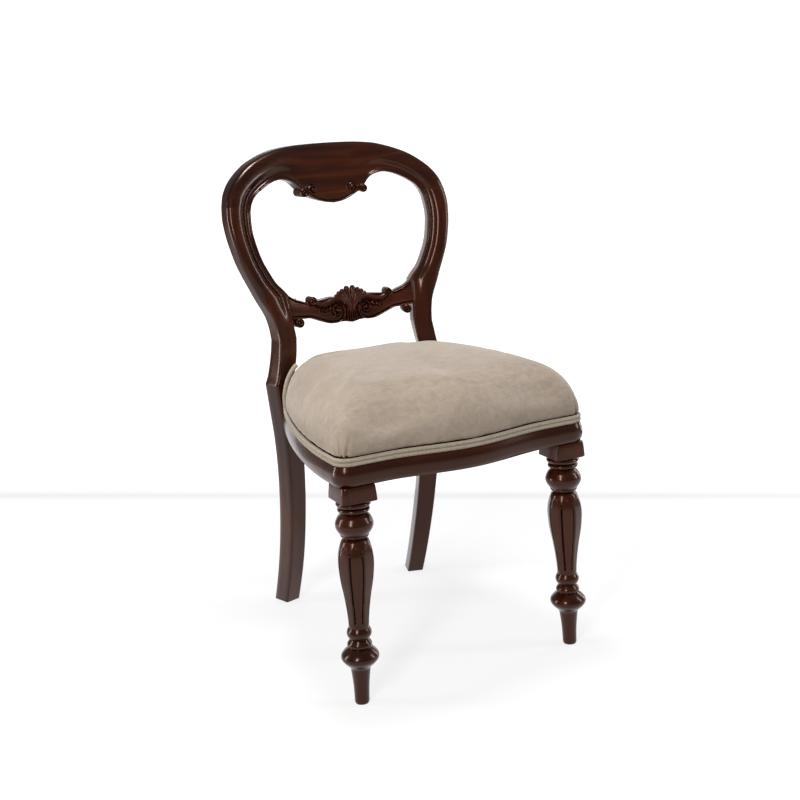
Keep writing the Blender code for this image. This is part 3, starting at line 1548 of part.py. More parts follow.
def leg_front_setback(x):
    """Setback just in front of the rear leg's face."""
    return back_setback(x, RAIL_TOP_HEIGHT) - 3 * CLEARANCE


def band_setbacks():
    """Setbacks of the two ends of the band where the piping climbs beside the rear leg."""
    rear = leg_front_setback(side_end()[0])
    return rear - PIPING_BAND + COVER_THICKNESS, rear


def dome_rise(share, along):
    """Height over the cushion's base, a share of the way from its edge to its middle line."""
    turn = min(share / SHOULDER_SHARE, 1)
    wall = CUSHION_WALL_RISE * sqrt(1 - (1 - turn) ** 2)
    crown = CUSHION_RISE - SPINE_DROP * (2 * along - 1) ** 2 - CUSHION_WALL_RISE
    return wall + crown * (1 - (1 - share) ** 2)


def dome_rows(station, outset, bulge, along):
    """Column of points from the cushion's edge up to its middle line."""
    base = cushion_base()
    end = Vector((0, frame_y(between(SPINE_FRONT_SETBACK, SPINE_REAR_SETBACK, along)), 0))
    rows = []
    for share in CUSHION_SHARES:
        turn = min(share / SHOULDER_SHARE, 1)
        edge = place(station, outset + bulge * sin(pi * turn), 0)
        spot = between(edge, end, share)
        spot.z = base + dome_rise(share, along)
        rows.append(spot)
    return rows


def column_normals(rows):
    """Outward directions of a column, in its own upright plane."""
    level = rows[-1] - rows[0]
    level.z = 0
    level.normalize()
    normals = []
    for before, after in zip(rows[:1] + rows, rows[1:] + rows[-1:]):
        along = (after - before).normalized()
        normals.append(Vector((0, 0, 1)) * along.dot(level) - level * along.z)
    return normals


def pressed_in(rows, depth):
    """Column pressed in square to its surface, less and less past the piping's end."""
    pressed = []
    for share, spot, normal in zip(CUSHION_SHARES, rows, column_normals(rows)):
        fade = 1 - ease((share - PIPING_END_SHARE) / PIPING_END_SHARE)
        pressed.append(spot - normal * depth * fade)
    return pressed


def band_rows():
    """The two columns at the ends of the piping's band, before they are pressed in."""
    first = len(rim_stations()) + 1
    columns = []
    for index, setback in enumerate(band_setbacks()):
        along = (first + index) / column_count()
        columns.append(dome_rows(side_station(setback), -PIPING_INSET / 2, CUSHION_BULGE, along))
    return columns


def column_count():
    """Number of the last column of the cushion's right half."""
    return len(rim_stations()) + len(band_setbacks()) + len(wall_stations())


def cushion_columns():
    """Right half of the cushion: rows of points at each place round its edge."""
    stations = rim_stations() + [side_station(band_setbacks()[0] - COVER_THICKNESS)]
    columns = []
    for index, station in enumerate(stations):
        foot = [place(station, outset, height) for outset, height in cover_tuck()]
        along = index / column_count()
        columns.append(foot + dome_rows(station, -PIPING_INSET / 2, CUSHION_BULGE, along))
    columns += band_columns()
    for station, low in wall_stations():
        columns.append(wall_rows(station, low, len(columns) / column_count()))
    return columns


def band_columns():
    """Columns where the cushion is pressed in to leave room for the piping."""
    tuck = cover_tuck()
    columns = []
    for lift, (setback, rows) in enumerate(zip(band_setbacks(), band_rows())):
        station = side_station(setback)
        pressed = pressed_in(rows, PIPING_DIAMETER + CLEARANCE)
        heights = [height for _, height in tuck]
        heights.append(between(heights[-1], pressed[1].z, 1 / 2))
        foot = []
        for index, height in enumerate(heights):
            raised = between(wall_foot(), pressed[1].z, index / len(heights))
            foot.append(place(station, tuck[0][0], between(height, raised, lift)))
        columns.append(foot + pressed[1:])
    return columns


def wall_stations():
    """Places along the rear leg and across the back, each with its cover's lowest height."""
    start = rear_rail_front() - REAR_RAIL_INSET - 3 * CLEARANCE
    rear = rear_rail_front() + REAR_RAIL_THICKNESS + CLEARANCE + COVER_THICKNESS
    slant = Vector((1, 1)).normalized()
    stations = [((leg_wall_point(start), slant), wall_foot())]
    stations.append(((leg_wall_point(rear), slant), wall_foot()))
    width = leg_wall_point(rear).x - CLEARANCE
    for share in BACK_COLUMN_SHARES:
        station = (Vector((width * share, rear)), Vector((0, 1)))
        stations.append((station, RAIL_LOW_HEIGHT + OVERRUN))
    return stations


def wall_rows(station, low, along):
    """Column of a plain upright wall with the cushion's dome on top."""
    rows = dome_rows(station, 0, 0, along)
    count = len(cover_tuck()) + 1
    foot = [place(station, 0, between(low, rows[1].z, index / count)) for index in range(count)]
    return foot + rows[1:]


def sheet_mesh(columns):
    """Open sheet through columns of equal counts."""
    shape = bmesh.new()
    rows = [[shape.verts.new(point) for point in column] for column in columns]
    for first, second in zip(rows, rows[1:]):
        for index in range(len(first) - 1):
            shape.faces.new((first[index], second[index], second[index + 1], first[index + 1]))
    bmesh.ops.remove_doubles(shape, verts=shape.verts, dist=MERGE_DISTANCE)
    mesh = bpy.data.meshes.new("sheet")
    shape.to_mesh(mesh)
    shape.free()
    return mesh


def make_cover():
    """Fabric shell over the stuffing, its edge tucked behind the piping."""
    cover = add_part("seat_cover", sheet_mesh(cushion_columns()), "velvet")
    mirror(cover)
    wall = cover.modifiers.new("cloth", "SOLIDIFY")
    wall.thickness = COVER_THICKNESS
    wall.offset = -1


def make_stuffing():
    """Pad inside the cover, lofted from its flat underside to the crown."""
    tucked = len(cover_tuck())
    inset = COVER_THICKNESS + 2 * CLEARANCE
    floor = hessian_height() + HESSIAN_THICKNESS + CLEARANCE
    columns = []
    band = len(rim_stations())
    for index, column in enumerate(cushion_columns()):
        beside = band <= index <= band + len(band_setbacks()) + 1
        depth = inset * (STUFFING_BAND_SHARE if beside else STUFFING_INSET_SHARE)
        rows = []
        middle = Vector((0, column[-1].y, 0))
        for point in column[tucked:]:
            inward = Vector((middle.x - point.x, middle.y - point.y, 0))
            share = min(depth / max(inward.length, depth), 1)
            spot = Vector((between(point.x, middle.x, share), between(point.y, middle.y, share), 0))
            spot.z = max(point.z - inset, floor)
            rows.append(spot)
        base = Vector((rows[0].x, rows[0].y, floor))
        rows[0].z = max(rows[0].z, floor + CLEARANCE)
        columns.append([Vector((0, middle.y, floor)), base] + rows)
    pad = add_part("seat_stuffing", sheet_mesh(columns), "wadding")
    mirror(pad)


def piping_frames():
    """Right half of the piping's run: middle, outward and pairing directions."""
    radius = PIPING_DIAMETER / 2
    middle = RAIL_LOW_HEIGHT + MOULDING_HEIGHT + CLEARANCE + PIPING_DIAMETER
    outset = -PIPING_INSET - radius
    up = Vector((0, 0, 1))
    frames = []
    band_start, band_end = band_setbacks()
    for station in rim_stations() + [side_station(band_start)]:
        frames.append((place(station, outset, middle), Vector((*station[1], 0)), up))
    band = side_station((band_start + band_end) / 2)
    outward = Vector((*band[1], 0))
    forward = Vector((band[1].y, -band[1].x, 0))
    lean = (up + forward).normalized()
    frames.append((place(band, outset, middle + CLEARANCE), outward, lean))
    first, second = band_rows()
    raised = between(cushion_base(), first[1].z, PIPING_RAISED_SHARE)
    frames.append((place(band, outset, raised), outward, forward))
    middle_rows = [between(one, other, 1 / 2) for one, other in zip(first, second)]
    depth = PIPING_DIAMETER - radius - CLEARANCE
    placed = zip(CUSHION_SHARES, middle_rows, column_normals(middle_rows), first, second)
    for share, spot, normal, ahead, behind in placed:
        if 0 < share <= PIPING_END_SHARE:
            frames.append((spot - normal * depth, normal, (ahead - behind).normalized()))
    return frames


def piping_ring(frame):
    """Figure-of-eight section: two cords side by side, joined where they meet."""
    centre, outward, pairing = frame
    radius = PIPING_DIAMETER / 2
    ring = []
    for sense in (1, -1):
        for step in range(5):
            angle = between(-pi / 9, pi + pi / 9, step / 4)
            spot = outward * cos(angle) + pairing * sense * sin(angle)
            if sense < 0:
                spot = -outward * cos(angle) + pairing * sense * sin(angle)
            ring.append(centre + pairing * sense * radius + spot * radius)
    return ring


def make_piping():
    """Double piping round the front and sides, turned up beside the rear legs."""
    rings = [piping_ring(frame) for frame in piping_frames()]
    piping = add_part("double_piping", loft(rings, cap_first=False), "piping")
    mirror(piping)


def main():
    """Build the chair, frame first and upholstery last."""
    clear_scene()
    for side, word in ((1, "right"), (-1, "left")):
        make_front_leg(f"front_leg_{word}", side)
        make_rear_leg(f"rear_leg_{word}", side)
        make_side_rail(f"side_seat_rail_{word}", side)
        make_corner_block(f"corner_block_front_{word}", side, front_block_outline(), front_block_screws())
        make_corner_block(f"corner_block_rear_{word}", side, rear_block_outline(), rear_block_screws())
    make_crest()
    make_cross_rail()
    make_front_rail()
    make_rear_rail()
    make_fasteners()
    make_webbing()
    make_hessian()
    make_stuffing()
    make_cover()
    make_piping()
    make_dust_cover()


main()
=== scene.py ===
"""Dresses the carved balloon-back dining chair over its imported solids.

Lengths are metres, +Z is up and the chair faces -Y. Each sub-assembly is a class
that holds its sizes, builds its meshes and gives them their finish. A place in
plan is an x and a setback, the distance behind the line of the front legs.
"""
import logging
from dataclasses import dataclass
from enum import Enum
from math import cos, pi, radians, sin
from typing import Sequence

import bmesh
import bpy
import numpy as np
from mathutils import Matrix, Vector
from mathutils.kdtree import KDTree


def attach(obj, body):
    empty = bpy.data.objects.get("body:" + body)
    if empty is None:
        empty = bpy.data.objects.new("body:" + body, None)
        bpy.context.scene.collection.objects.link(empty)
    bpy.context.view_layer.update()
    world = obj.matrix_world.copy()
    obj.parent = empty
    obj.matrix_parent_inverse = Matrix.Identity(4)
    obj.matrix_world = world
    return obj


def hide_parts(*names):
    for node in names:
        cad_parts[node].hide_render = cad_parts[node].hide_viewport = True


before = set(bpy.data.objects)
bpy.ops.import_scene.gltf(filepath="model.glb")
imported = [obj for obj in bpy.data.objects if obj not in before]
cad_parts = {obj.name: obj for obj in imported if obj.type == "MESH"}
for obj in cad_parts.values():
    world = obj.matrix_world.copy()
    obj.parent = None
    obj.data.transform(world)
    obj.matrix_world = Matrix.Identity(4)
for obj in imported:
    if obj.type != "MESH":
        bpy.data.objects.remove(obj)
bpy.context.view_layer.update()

LOG = logging.getLogger("balloon_back_chair")
Array = np.ndarray
Colour = tuple[float, float, float]
WHITE: Colour = (1.0, 1.0, 1.0)
WELD = 2e-5
SEAM_WELD = 4e-5


class Grain(Enum):
    """The way the wood's grain runs through a piece."""

    UPRIGHT = (0.0, 0.0, 0.0)
    ACROSS = (0.0, pi / 2, 0.0)
    DEPTH = (pi / 2, 0.0, 0.0)


# Curves and meshes


def span_curve(start: Array, end: Array, slope_in: Array, slope_out: Array, t: Array) -> Array:
    """Places a share t along the cubic between two ends with given slopes."""
    return (
        start * (1 + 2 * t) * (1 - t) ** 2
        + end * t * t * (3 - 2 * t)
        + slope_in * t * (1 - t) ** 2
        - slope_out * t * t * (1 - t)
    )


def hermite(table: Sequence[tuple[float, float]], places: Array) -> Array:
    """Reads a smooth curve through rows of a table.

    Args:
        table: Rows of (place, value), places rising.
        places: Places to read the curve at.

    Returns:
        The values at those places.
    """
    at = np.asarray(places, float)
    rows = np.array(table, float)
    xs, ys = rows[:, 0], rows[:, 1]
    last = len(xs) - 1
    span = np.clip(np.searchsorted(xs, at, side="left") - 1, 0, last - 1)
    before = np.maximum(span - 1, 0)
    after = np.minimum(span + 2, last)
    reach = xs[span + 1] - xs[span]
    slope_in = (ys[span + 1] - ys[before]) / (xs[span + 1] - xs[before])
    slope_out = (ys[after] - ys[span]) / (xs[after] - xs[span])
    t = (at - xs[span]) / reach
    return span_curve(ys[span], ys[span + 1], slope_in * reach, slope_out * reach, t)


def smooth_path(points: Sequence[Sequence[float]], steps: int) -> Array:
    """Points along a smooth curve through the given ones.

    Args:
        points: Points in two or three dimensions.
        steps: Steps to each span.

    Returns:
        One row for each point of the curve.
    """
    rows = np.array(points, float)
    padded = np.vstack([2 * rows[0] - rows[1], rows, 2 * rows[-1] - rows[-2]])
    line = []
    for index in range(len(rows) - 1):
        before, start, end, after = padded[index : index + 4]
        for t in np.arange(steps) / steps:
            line.append(span_curve(start, end, (end - before) / 2, (after - start) / 2, t))
    line.append(rows[-1])
    return np.array(line)


def run_along(line: Array) -> Array:
    """Distance along a line at each of its points."""
    return np.concatenate([[0], np.cumsum(np.linalg.norm(np.diff(line, axis=0), axis=1))])


def unit(rows: Array) -> Array:
    """The same directions with length 1."""
    return rows / np.linalg.norm(rows, axis=-1, keepdims=True)


def full_turn(sides: int) -> Array:
    """Evenly spaced angles of a full turn."""
    return np.linspace(0, 2 * pi, sides + 1)[:-1]


def read_line(line: Array, run: Array, places: Array) -> Array:
    """Points of a line at distances along it."""
    return np.stack([np.interp(places, run, column) for column in line.T], 1)


def across_face(inner: Array, outer: Array, shares: Array) -> tuple[Array, Array]:
    """The x and the z at shares of the way from an inner edge to an outer one."""
    x = inner[:, :1] + (outer[:, :1] - inner[:, :1]) * shares
    z = inner[:, 1:] + (outer[:, 1:] - inner[:, 1:]) * shares
    return x, z


def ease(share: Array) -> Array:
    """Smooth step from 0 to 1."""
    t = np.clip(share, 0, 1)
    return t * t * (3 - 2 * t)


def line_distance(x: Array, z: Array, line: Array) -> tuple[Array, Array]:
    """Distance of each point from a line in the plane.

    Args:
        x: First coordinates of the points.
        z: Second coordinates of the points.
        line: The line's own points, one a row.

    Returns:
        The distances, and how far along the line the nearest places are, 0 to 1.
    """
    best = np.full(x.shape, 1e9)
    where = np.zeros(x.shape)
    count = len(line) - 1
    for index in range(count):
        start, end = line[index], line[index + 1]
        along = end - start
        size = max(float(along @ along), 1e-12)
        t = np.clip(((x - start[0]) * along[0] + (z - start[1]) * along[1]) / size, 0, 1)
        distance = np.hypot(x - start[0] - t * along[0], z - start[1] - t * along[1])
        nearer = distance < best
        best = np.where(nearer, distance, best)
        where = np.where(nearer, (index + t) / count, where)
    return best, where


def shell_mesh(name: str, rings: Array, cap_first: bool = True, cap_last: bool = True,
               closed: bool = True) -> bpy.types.Mesh:
    """Skins rings of points.

    Args:
        name: Name of the mesh.
        rings: Points, ring by ring, as rings x points x 3.
        cap_first: Whether the first ring is closed by a face.
        cap_last: Whether the last ring is closed by a face.
        closed: Whether each ring joins its last point to its first.

    Returns:
        The mesh, its faces pointing outwards where it is closed.
    """
    count, width = rings.shape[:2]
    grid = np.arange(count * width).reshape(count, width)
    across = np.roll(grid, -1, axis=1) if closed else grid[:, 1:]
    near = grid if closed else grid[:, :-1]
    quads = np.stack([near[:-1], across[:-1], across[1:], near[1:]], -1).reshape(-1, 4)
    faces = quads.tolist()
    if cap_first:
        faces.append(grid[0][::-1].tolist())
    if cap_last:
        faces.append(grid[-1].tolist())
    mesh = bpy.data.meshes.new(name)
    mesh.from_pydata(rings.reshape(-1, 3).tolist(), [], faces)
    return mesh


def tidy_mesh(mesh: bpy.types.Mesh, merge: float = WELD) -> bpy.types.Mesh:
    """Welds a mesh's doubles and turns its faces outwards."""
    shape = bmesh.new()
    shape.from_mesh(mesh)
    bmesh.ops.remove_doubles(shape, verts=shape.verts, dist=merge)
    bmesh.ops.recalc_face_normals(shape, faces=shape.faces)
    shape.to_mesh(mesh)
    shape.free()
    return mesh


def joined(name: str, meshes: Sequence[bpy.types.Mesh]) -> bpy.types.Mesh:
    """One mesh that holds several."""
    shape = bmesh.new()
    for mesh in meshes:
        shape.from_mesh(mesh)
    whole = bpy.data.meshes.new(name)
    shape.to_mesh(whole)
    shape.free()
    return whole


def mirrored(name: str, mesh: bpy.types.Mesh) -> bpy.types.Mesh:
    """Copy of a mesh for the chair's other side."""
    copy = mesh.copy()
    copy.name = name
    copy.transform(Matrix.Scale(-1, 4, (1, 0, 0)))
    copy.flip_normals()
    return copy


def both_halves(name: str, half: bpy.types.Mesh) -> bpy.types.Mesh:
    """One mesh of a right half and its mirror image."""
    return joined(name, [half, mirrored("left", half)])


def read_places(mesh: bpy.types.Mesh) -> Array:
    """A mesh's points, one a row."""
    places = np.zeros(len(mesh.vertices) * 3)
    mesh.vertices.foreach_get("co", places)
    return places.reshape(-1, 3)


def write_places(mesh: bpy.types.Mesh, places: Array) -> None:
    """Sets a mesh's points."""
    mesh.vertices.foreach_set("co", places.reshape(-1))
    mesh.update()


def mark_painted_shade(mesh: bpy.types.Mesh, values: Array) -> None:
    """Keeps how much painted shade darkens each point of a mesh."""
    mark = mesh.attributes.new("recess", "FLOAT", "POINT")
    mark.data.foreach_set("value", values.reshape(-1).astype(np.float32))


def add_object(name: str, data: bpy.types.ID) -> bpy.types.Object:
    """Links new data to the scene as an object."""
    item = bpy.data.objects.new(name, data)
    bpy.context.scene.collection.objects.link(item)
    return item


def make_piece(name: str, mesh: bpy.types.Mesh, finish: bpy.types.Material,
               stands_for: Sequence[str] = (), crease: float = 0.7) -> bpy.types.Object:
    """Links a mesh as a piece of the chair.

    Args:
        name: Name of the piece.
        mesh: Its mesh, in place.
        finish: Its material.
        stands_for: Nodes that it replaces.
        crease: Angle past which an edge stays sharp, or 0 to leave the shading.

    Returns:
        The piece.
    """
    mesh.name = name
    if crease:
        mesh.shade_smooth()
        mesh.set_sharp_from_angle(angle=crease)
    mesh.materials.clear()
    mesh.materials.append(finish)
    piece = add_object(name, mesh)
    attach(piece, "root")
    if stands_for:
        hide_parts(*stands_for)
    LOG.info("%s: %d faces", name, len(mesh.polygons))
    return piece


def make_pair(name: str, mesh: bpy.types.Mesh, finish: bpy.types.Material, node: str,
              crease: float = 0.7) -> None:
    """Links a mesh of polished wood and its mirror image as two pieces.

    Args:
        name: Name of the pieces, without their side.
        mesh: The right one's mesh, in place.
        finish: Their material.
        node: Node that each replaces, without its side.
        crease: Angle past which an edge stays sharp.
    """
    make_piece(f"{name}_right", mesh, finish, [f"{node}_right"], crease)
    make_piece(f"{name}_left", mirrored("left", mesh), finish, [f"{node}_left"], crease)


# Trees of nodes


class NodeLayout:
    """Small helper that lays out a tree of nodes."""

    def __init__(self, tree: bpy.types.NodeTree) -> None:
        """Starts on a tree."""
        self.tree = tree

    def add(self, kind: str, inputs: dict[str, object] | None = None,
            **settings: object) -> bpy.types.Node:
        """Adds a node.

        Args:
            kind: Type of the node.
            inputs: Values of its inputs, by name.
            settings: Values of its properties.

        Returns:
            The node.
        """
        node = self.tree.nodes.new(kind)
        for key, value in settings.items():
            setattr(node, key, value)
        for key, value in (inputs or {}).items():
            node.inputs[key].default_value = value
        return node

    def link(self, source: bpy.types.NodeSocket, target: bpy.types.NodeSocket) -> None:
        """Joins two sockets."""
        self.tree.links.new(source, target)


class ShaderSheet(NodeLayout):
    """The nodes of one material, round a Principled shader."""

    def __init__(self, name: str) -> None:
        """Starts a material of that name."""
        self.material = bpy.data.materials.new(name)
        self.material.use_nodes = True
        super().__init__(self.material.node_tree)
        self.shader = self.tree.nodes["Principled BSDF"]

    def tune(self, values: dict[str, object]) -> None:
        """Sets the shader's own inputs, to a value or from a socket."""
        for key, value in values.items():
            if isinstance(value, bpy.types.NodeSocket):
                self.link(value, self.shader.inputs[key])
            else:
                self.shader.inputs[key].default_value = value

    def places(self, scale: Sequence[float], turn: Sequence[float] = (0, 0, 0)) -> bpy.types.NodeSocket:
        """Object coordinates, turned and then stretched.

        Args:
            scale: Stretch along each axis.
            turn: Turn about each axis, in radians.

        Returns:
            The socket that gives the coordinates.
        """
        where = self.add("ShaderNodeTexCoord")
        turned = self.add("ShaderNodeMapping", {"Rotation": turn})
        self.link(where.outputs["Object"], turned.inputs["Vector"])
        stretched = self.add("ShaderNodeMapping", {"Scale": scale})
        self.link(turned.outputs["Vector"], stretched.inputs["Vector"])
        return stretched.outputs["Vector"]

    def noise(self, vector: bpy.types.NodeSocket, scale: float, detail: float = 4.0,
              rough: float = 0.55, distortion: float = 0.0) -> bpy.types.NodeSocket:
        """Noise texture's value."""
        node = self.add("ShaderNodeTexNoise", {
            "Scale": scale, "Detail": detail, "Roughness": rough, "Distortion": distortion,
        })
        self.link(vector, node.inputs["Vector"])
        return node.outputs["Fac"]

    def ramp(self, source: bpy.types.NodeSocket,
             stops: Sequence[tuple[float, Colour]]) -> bpy.types.NodeSocket:
        """Colour ramp over a value."""
        node = self.add("ShaderNodeValToRGB")
        elements = node.color_ramp.elements
        while len(elements) < len(stops):
            elements.new(1.0)
        for element, (place, colour) in zip(elements, stops):
            element.position = place
            element.color = (*colour, 1.0)
        self.link(source, node.inputs["Fac"])
        return node.outputs["Color"]

    def blend(self, share: bpy.types.NodeSocket | float, first: bpy.types.NodeSocket,
              second: bpy.types.NodeSocket, kind: str = "MIX") -> bpy.types.NodeSocket:
        """Mixes two colours."""
        node = self.add("ShaderNodeMix", data_type="RGBA", blend_type=kind)
        if isinstance(share, (int, float)):
            node.inputs["Factor"].default_value = share
        else:
            self.link(share, node.inputs["Factor"])
        self.link(first, node.inputs["A"])
        self.link(second, node.inputs["B"])
        return node.outputs["Result"]

    def remap(self, source: bpy.types.NodeSocket, low: float, high: float) -> bpy.types.NodeSocket:
        """Stretches a value from 0..1 to low..high."""
        node = self.add("ShaderNodeMapRange", {"To Min": low, "To Max": high})
        self.link(source, node.inputs["Value"])
        return node.outputs["Result"]

    def bump(self, height: bpy.types.NodeSocket, strength: float, distance: float,
             under: bpy.types.NodeSocket | None = None) -> bpy.types.NodeSocket:
        """Bump node over a height, on top of another where there is one."""
        node = self.add("ShaderNodeBump", {"Strength": strength, "Distance": distance})
        self.link(height, node.inputs["Height"])
        if under is not None:
            self.link(under, node.inputs["Normal"])
        return node.outputs["Normal"]

    def attribute(self, name: str) -> bpy.types.NodeSocket:
        """Value of a mesh attribute."""
        node = self.add("ShaderNodeAttribute", attribute_name=name)
        return node.outputs["Fac"]


# Finishes


@dataclass(frozen=True)
class PolishedMahogany:
    """Dark french-polished mahogany with long streaks and a soft shine."""

    grain: Grain = Grain.UPRIGHT
    dark: Colour = (0.0026, 0.0006, 0.0004)
    body: Colour = (0.0240, 0.0044, 0.0014)
    light: Colour = (0.1050, 0.0220, 0.0060)
    # Near-black tone of the pores, and of the painted shade in recesses.
    recess: Colour = (0.0010, 0.0004, 0.0003)
    roughness: float = 0.23
    specular: float = 0.34
    shine: Colour = (1.0, 0.48, 0.34)
    coat: float = 0.26
    coat_roughness: float = 0.07
    streak_scale: tuple[float, float, float] = (36, 36, 2.4)
    pore_scale: tuple[float, float, float] = (260, 260, 9)
    patch_scale: tuple[float, float, float] = (5, 5, 2.2)
    hand_scale: tuple[float, float, float] = (22, 22, 14)
    patch_share: float = 0.35
    pore_share: float = 0.35
    wear: tuple[float, float] = (0.05, 0.09)

    def build(self, name: str, carved: bool = False) -> bpy.types.Material:
        """Lays out the material.

        Args:
            name: Name of the material.
            carved: Whether the mesh has a recess attribute of painted shade to mix in.

        Returns:
            The material.
        """
        sheet = ShaderSheet(name)
        turn = self.grain.value
        figure = sheet.noise(sheet.places(self.streak_scale, turn), 1.0, 6.0, 0.6, 0.6)
        pores = sheet.noise(sheet.places(self.pore_scale, turn), 1.0, 3.0, 0.6)
        patches = sheet.noise(sheet.places(self.patch_scale, turn), 1.0, 3.0, 0.5, 0.4)
        wood = sheet.ramp(figure, ((0.30, self.dark), (0.52, self.body), (0.74, self.light)))
        warm = sheet.ramp(patches, ((0.34, self.dark), (0.70, self.light)))
        colour = sheet.blend(self.patch_share, wood, warm)
        flecks = sheet.ramp(pores, ((0.30, self.recess), (0.42, WHITE)))
        colour = sheet.blend(self.pore_share, colour, flecks, "MULTIPLY")
        # Painted shade: the recess attribute mixes in the near-black tone where shade would fall in hollows.
        if carved:
            low = sheet.add("ShaderNodeRGB")
            low.outputs[0].default_value = (*self.recess, 1.0)
            colour = sheet.blend(sheet.attribute("recess"), colour, low.outputs[0])
        shiny, dull = self.roughness - self.wear[0], self.roughness + self.wear[1]
        hand = sheet.noise(sheet.places(self.hand_scale, turn), 1.0, 2.0)
        sheet.tune({
            "Base Color": colour,
            "Roughness": sheet.remap(patches, shiny, dull),
            "Normal": sheet.bump(hand, 0.10, 0.0015, sheet.bump(pores, 0.10, 0.0003)),
            "Coat Weight": self.coat,
            "Coat Roughness": self.coat_roughness,
            "Specular IOR Level": self.specular,
            "Specular Tint": (*self.shine, 1.0),
        })
        return sheet.material


@dataclass(frozen=True)
class PlainBeech:
    """Unpolished beech of the hidden blocks and dowels."""

    pale: Colour = (0.52, 0.36, 0.21)
    deep: Colour = (0.38, 0.23, 0.12)
    fleck: Colour = (0.55, 0.5, 0.45)
    roughness: float = 0.62

    def build(self, name: str) -> bpy.types.Material:
        """Lays out the material."""
        sheet = ShaderSheet(name)
        figure = sheet.noise(sheet.places((14, 90, 90)), 1.0, 5.0, 0.6, 0.4)
        flecks = sheet.noise(sheet.places((60, 500, 500)), 1.0, 2.0)
        wood = sheet.ramp(figure, ((0.32, self.deep), (0.68, self.pale)))
        marks = sheet.ramp(flecks, ((0.36, self.fleck), (0.48, WHITE)))
        sheet.tune({
            "Base Color": sheet.blend(0.5, wood, marks, "MULTIPLY"),
            "Normal": sheet.bump(flecks, 0.3, 0.0004),
            "Roughness": self.roughness,
        })
        return sheet.material


@dataclass(frozen=True)
class DrawnSteel:
    """Bright wood screws."""

    colour: Colour = (0.42, 0.42, 0.43)
    worn: Colour = (0.28, 0.27, 0.26)
    roughness: tuple[float, float] = (0.28, 0.5)

    def build(self, name: str) -> bpy.types.Material:
        """Lays out the material."""
        sheet = ShaderSheet(name)
        wear = sheet.noise(sheet.places((300, 300, 300)), 1.0, 4.0)
        sheet.tune({
            "Base Color": sheet.ramp(wear, ((0.3, self.worn), (0.65, self.colour))),
            "Roughness": sheet.remap(wear, *self.roughness),
            "Normal": sheet.bump(wear, 0.15, 0.0002),
            "Metallic": 1.0,
        })
        return sheet.material


@dataclass(frozen=True)
class PressedVelvet:
    """Short-pile beige velvet with the cloudy marks of a brushed pile."""

    low: Colour = (0.390, 0.300, 0.230)
    mid: Colour = (0.475, 0.382, 0.302)
    high: Colour = (0.565, 0.475, 0.392)
    fibre: Colour = (0.82, 0.82, 0.82)
    roughness: float = 0.88
    sheen: float = 0.45
    sheen_tint: Colour = (0.95, 0.92, 0.86)

    def build(self, name: str) -> bpy.types.Material:
        """Lays out the material."""
        sheet = ShaderSheet(name)
        clouds = sheet.noise(sheet.places((9, 13, 11)), 1.0, 5.0, 0.62, 0.9)
        flock = sheet.noise(sheet.places((70, 120, 90)), 1.0, 5.0, 0.7, 0.6)
        pile = sheet.noise(sheet.places((1500, 1500, 1500)), 1.0, 2.0)
        wide = sheet.ramp(clouds, ((0.33, self.low), (0.5, self.mid), (0.68, self.high)))
        close = sheet.ramp(flock, ((0.34, self.low), (0.5, self.mid), (0.66, self.high)))
        colour = sheet.blend(0.5, wide, close)
        fibre = sheet.ramp(pile, ((0.3, self.fibre), (0.7, WHITE)))
        sheet.tune({
            "Base Color": sheet.blend(0.7, colour, fibre, "MULTIPLY"),
            "Normal": sheet.bump(flock, 0.25, 0.0012, sheet.bump(pile, 0.35, 0.0006)),
            "Roughness": self.roughness,
            "Sheen Weight": self.sheen,
            "Sheen Roughness": self.sheen,
            "Sheen Tint": (*self.sheen_tint, 1.0),
        })
        return sheet.material


@dataclass(frozen=True)
class WovenCloth:
    """Plain woven cloth: two sets of threads crossing."""

    colour: Colour
    shade: Colour
    threads: float = 900.0
    depth: float = 0.0004
    roughness: float = 0.85
    slub: Colour = (0.8, 0.8, 0.8)
    sheen: float = 0.25

    def build(self, name: str) -> bpy.types.Material:
        """Lays out the material."""
        sheet = ShaderSheet(name)
        vector = sheet.places((self.threads, self.threads, self.threads))
        heights = []
        for direction in ("X", "Y"):
            wave = sheet.add("ShaderNodeTexWave", {"Scale": 0.16, "Distortion": 0.6}, wave_type="BANDS",
                             bands_direction=direction, wave_profile="SIN")
            sheet.link(vector, wave.inputs["Vector"])
            heights.append(wave.outputs["Fac"])
        weave = sheet.add("ShaderNodeMath", operation="MULTIPLY")
        sheet.link(heights[0], weave.inputs[0])
        sheet.link(heights[1], weave.inputs[1])
        slub = sheet.noise(sheet.places((120, 120, 120)), 1.0, 4.0)
        base = sheet.ramp(weave.outputs[0], ((0.0, self.shade), (0.55, self.colour)))
        mottle = sheet.ramp(slub, ((0.3, self.slub), (0.7, WHITE)))
        sheet.tune({
            "Base Color": sheet.blend(0.6, base, mottle, "MULTIPLY"),
            "Normal": sheet.bump(weave.outputs[0], 0.5, self.depth),
            "Roughness": self.roughness,
            "Sheen Weight": self.sheen,
        })
        return sheet.material


# Form of the chair, the same as its solids


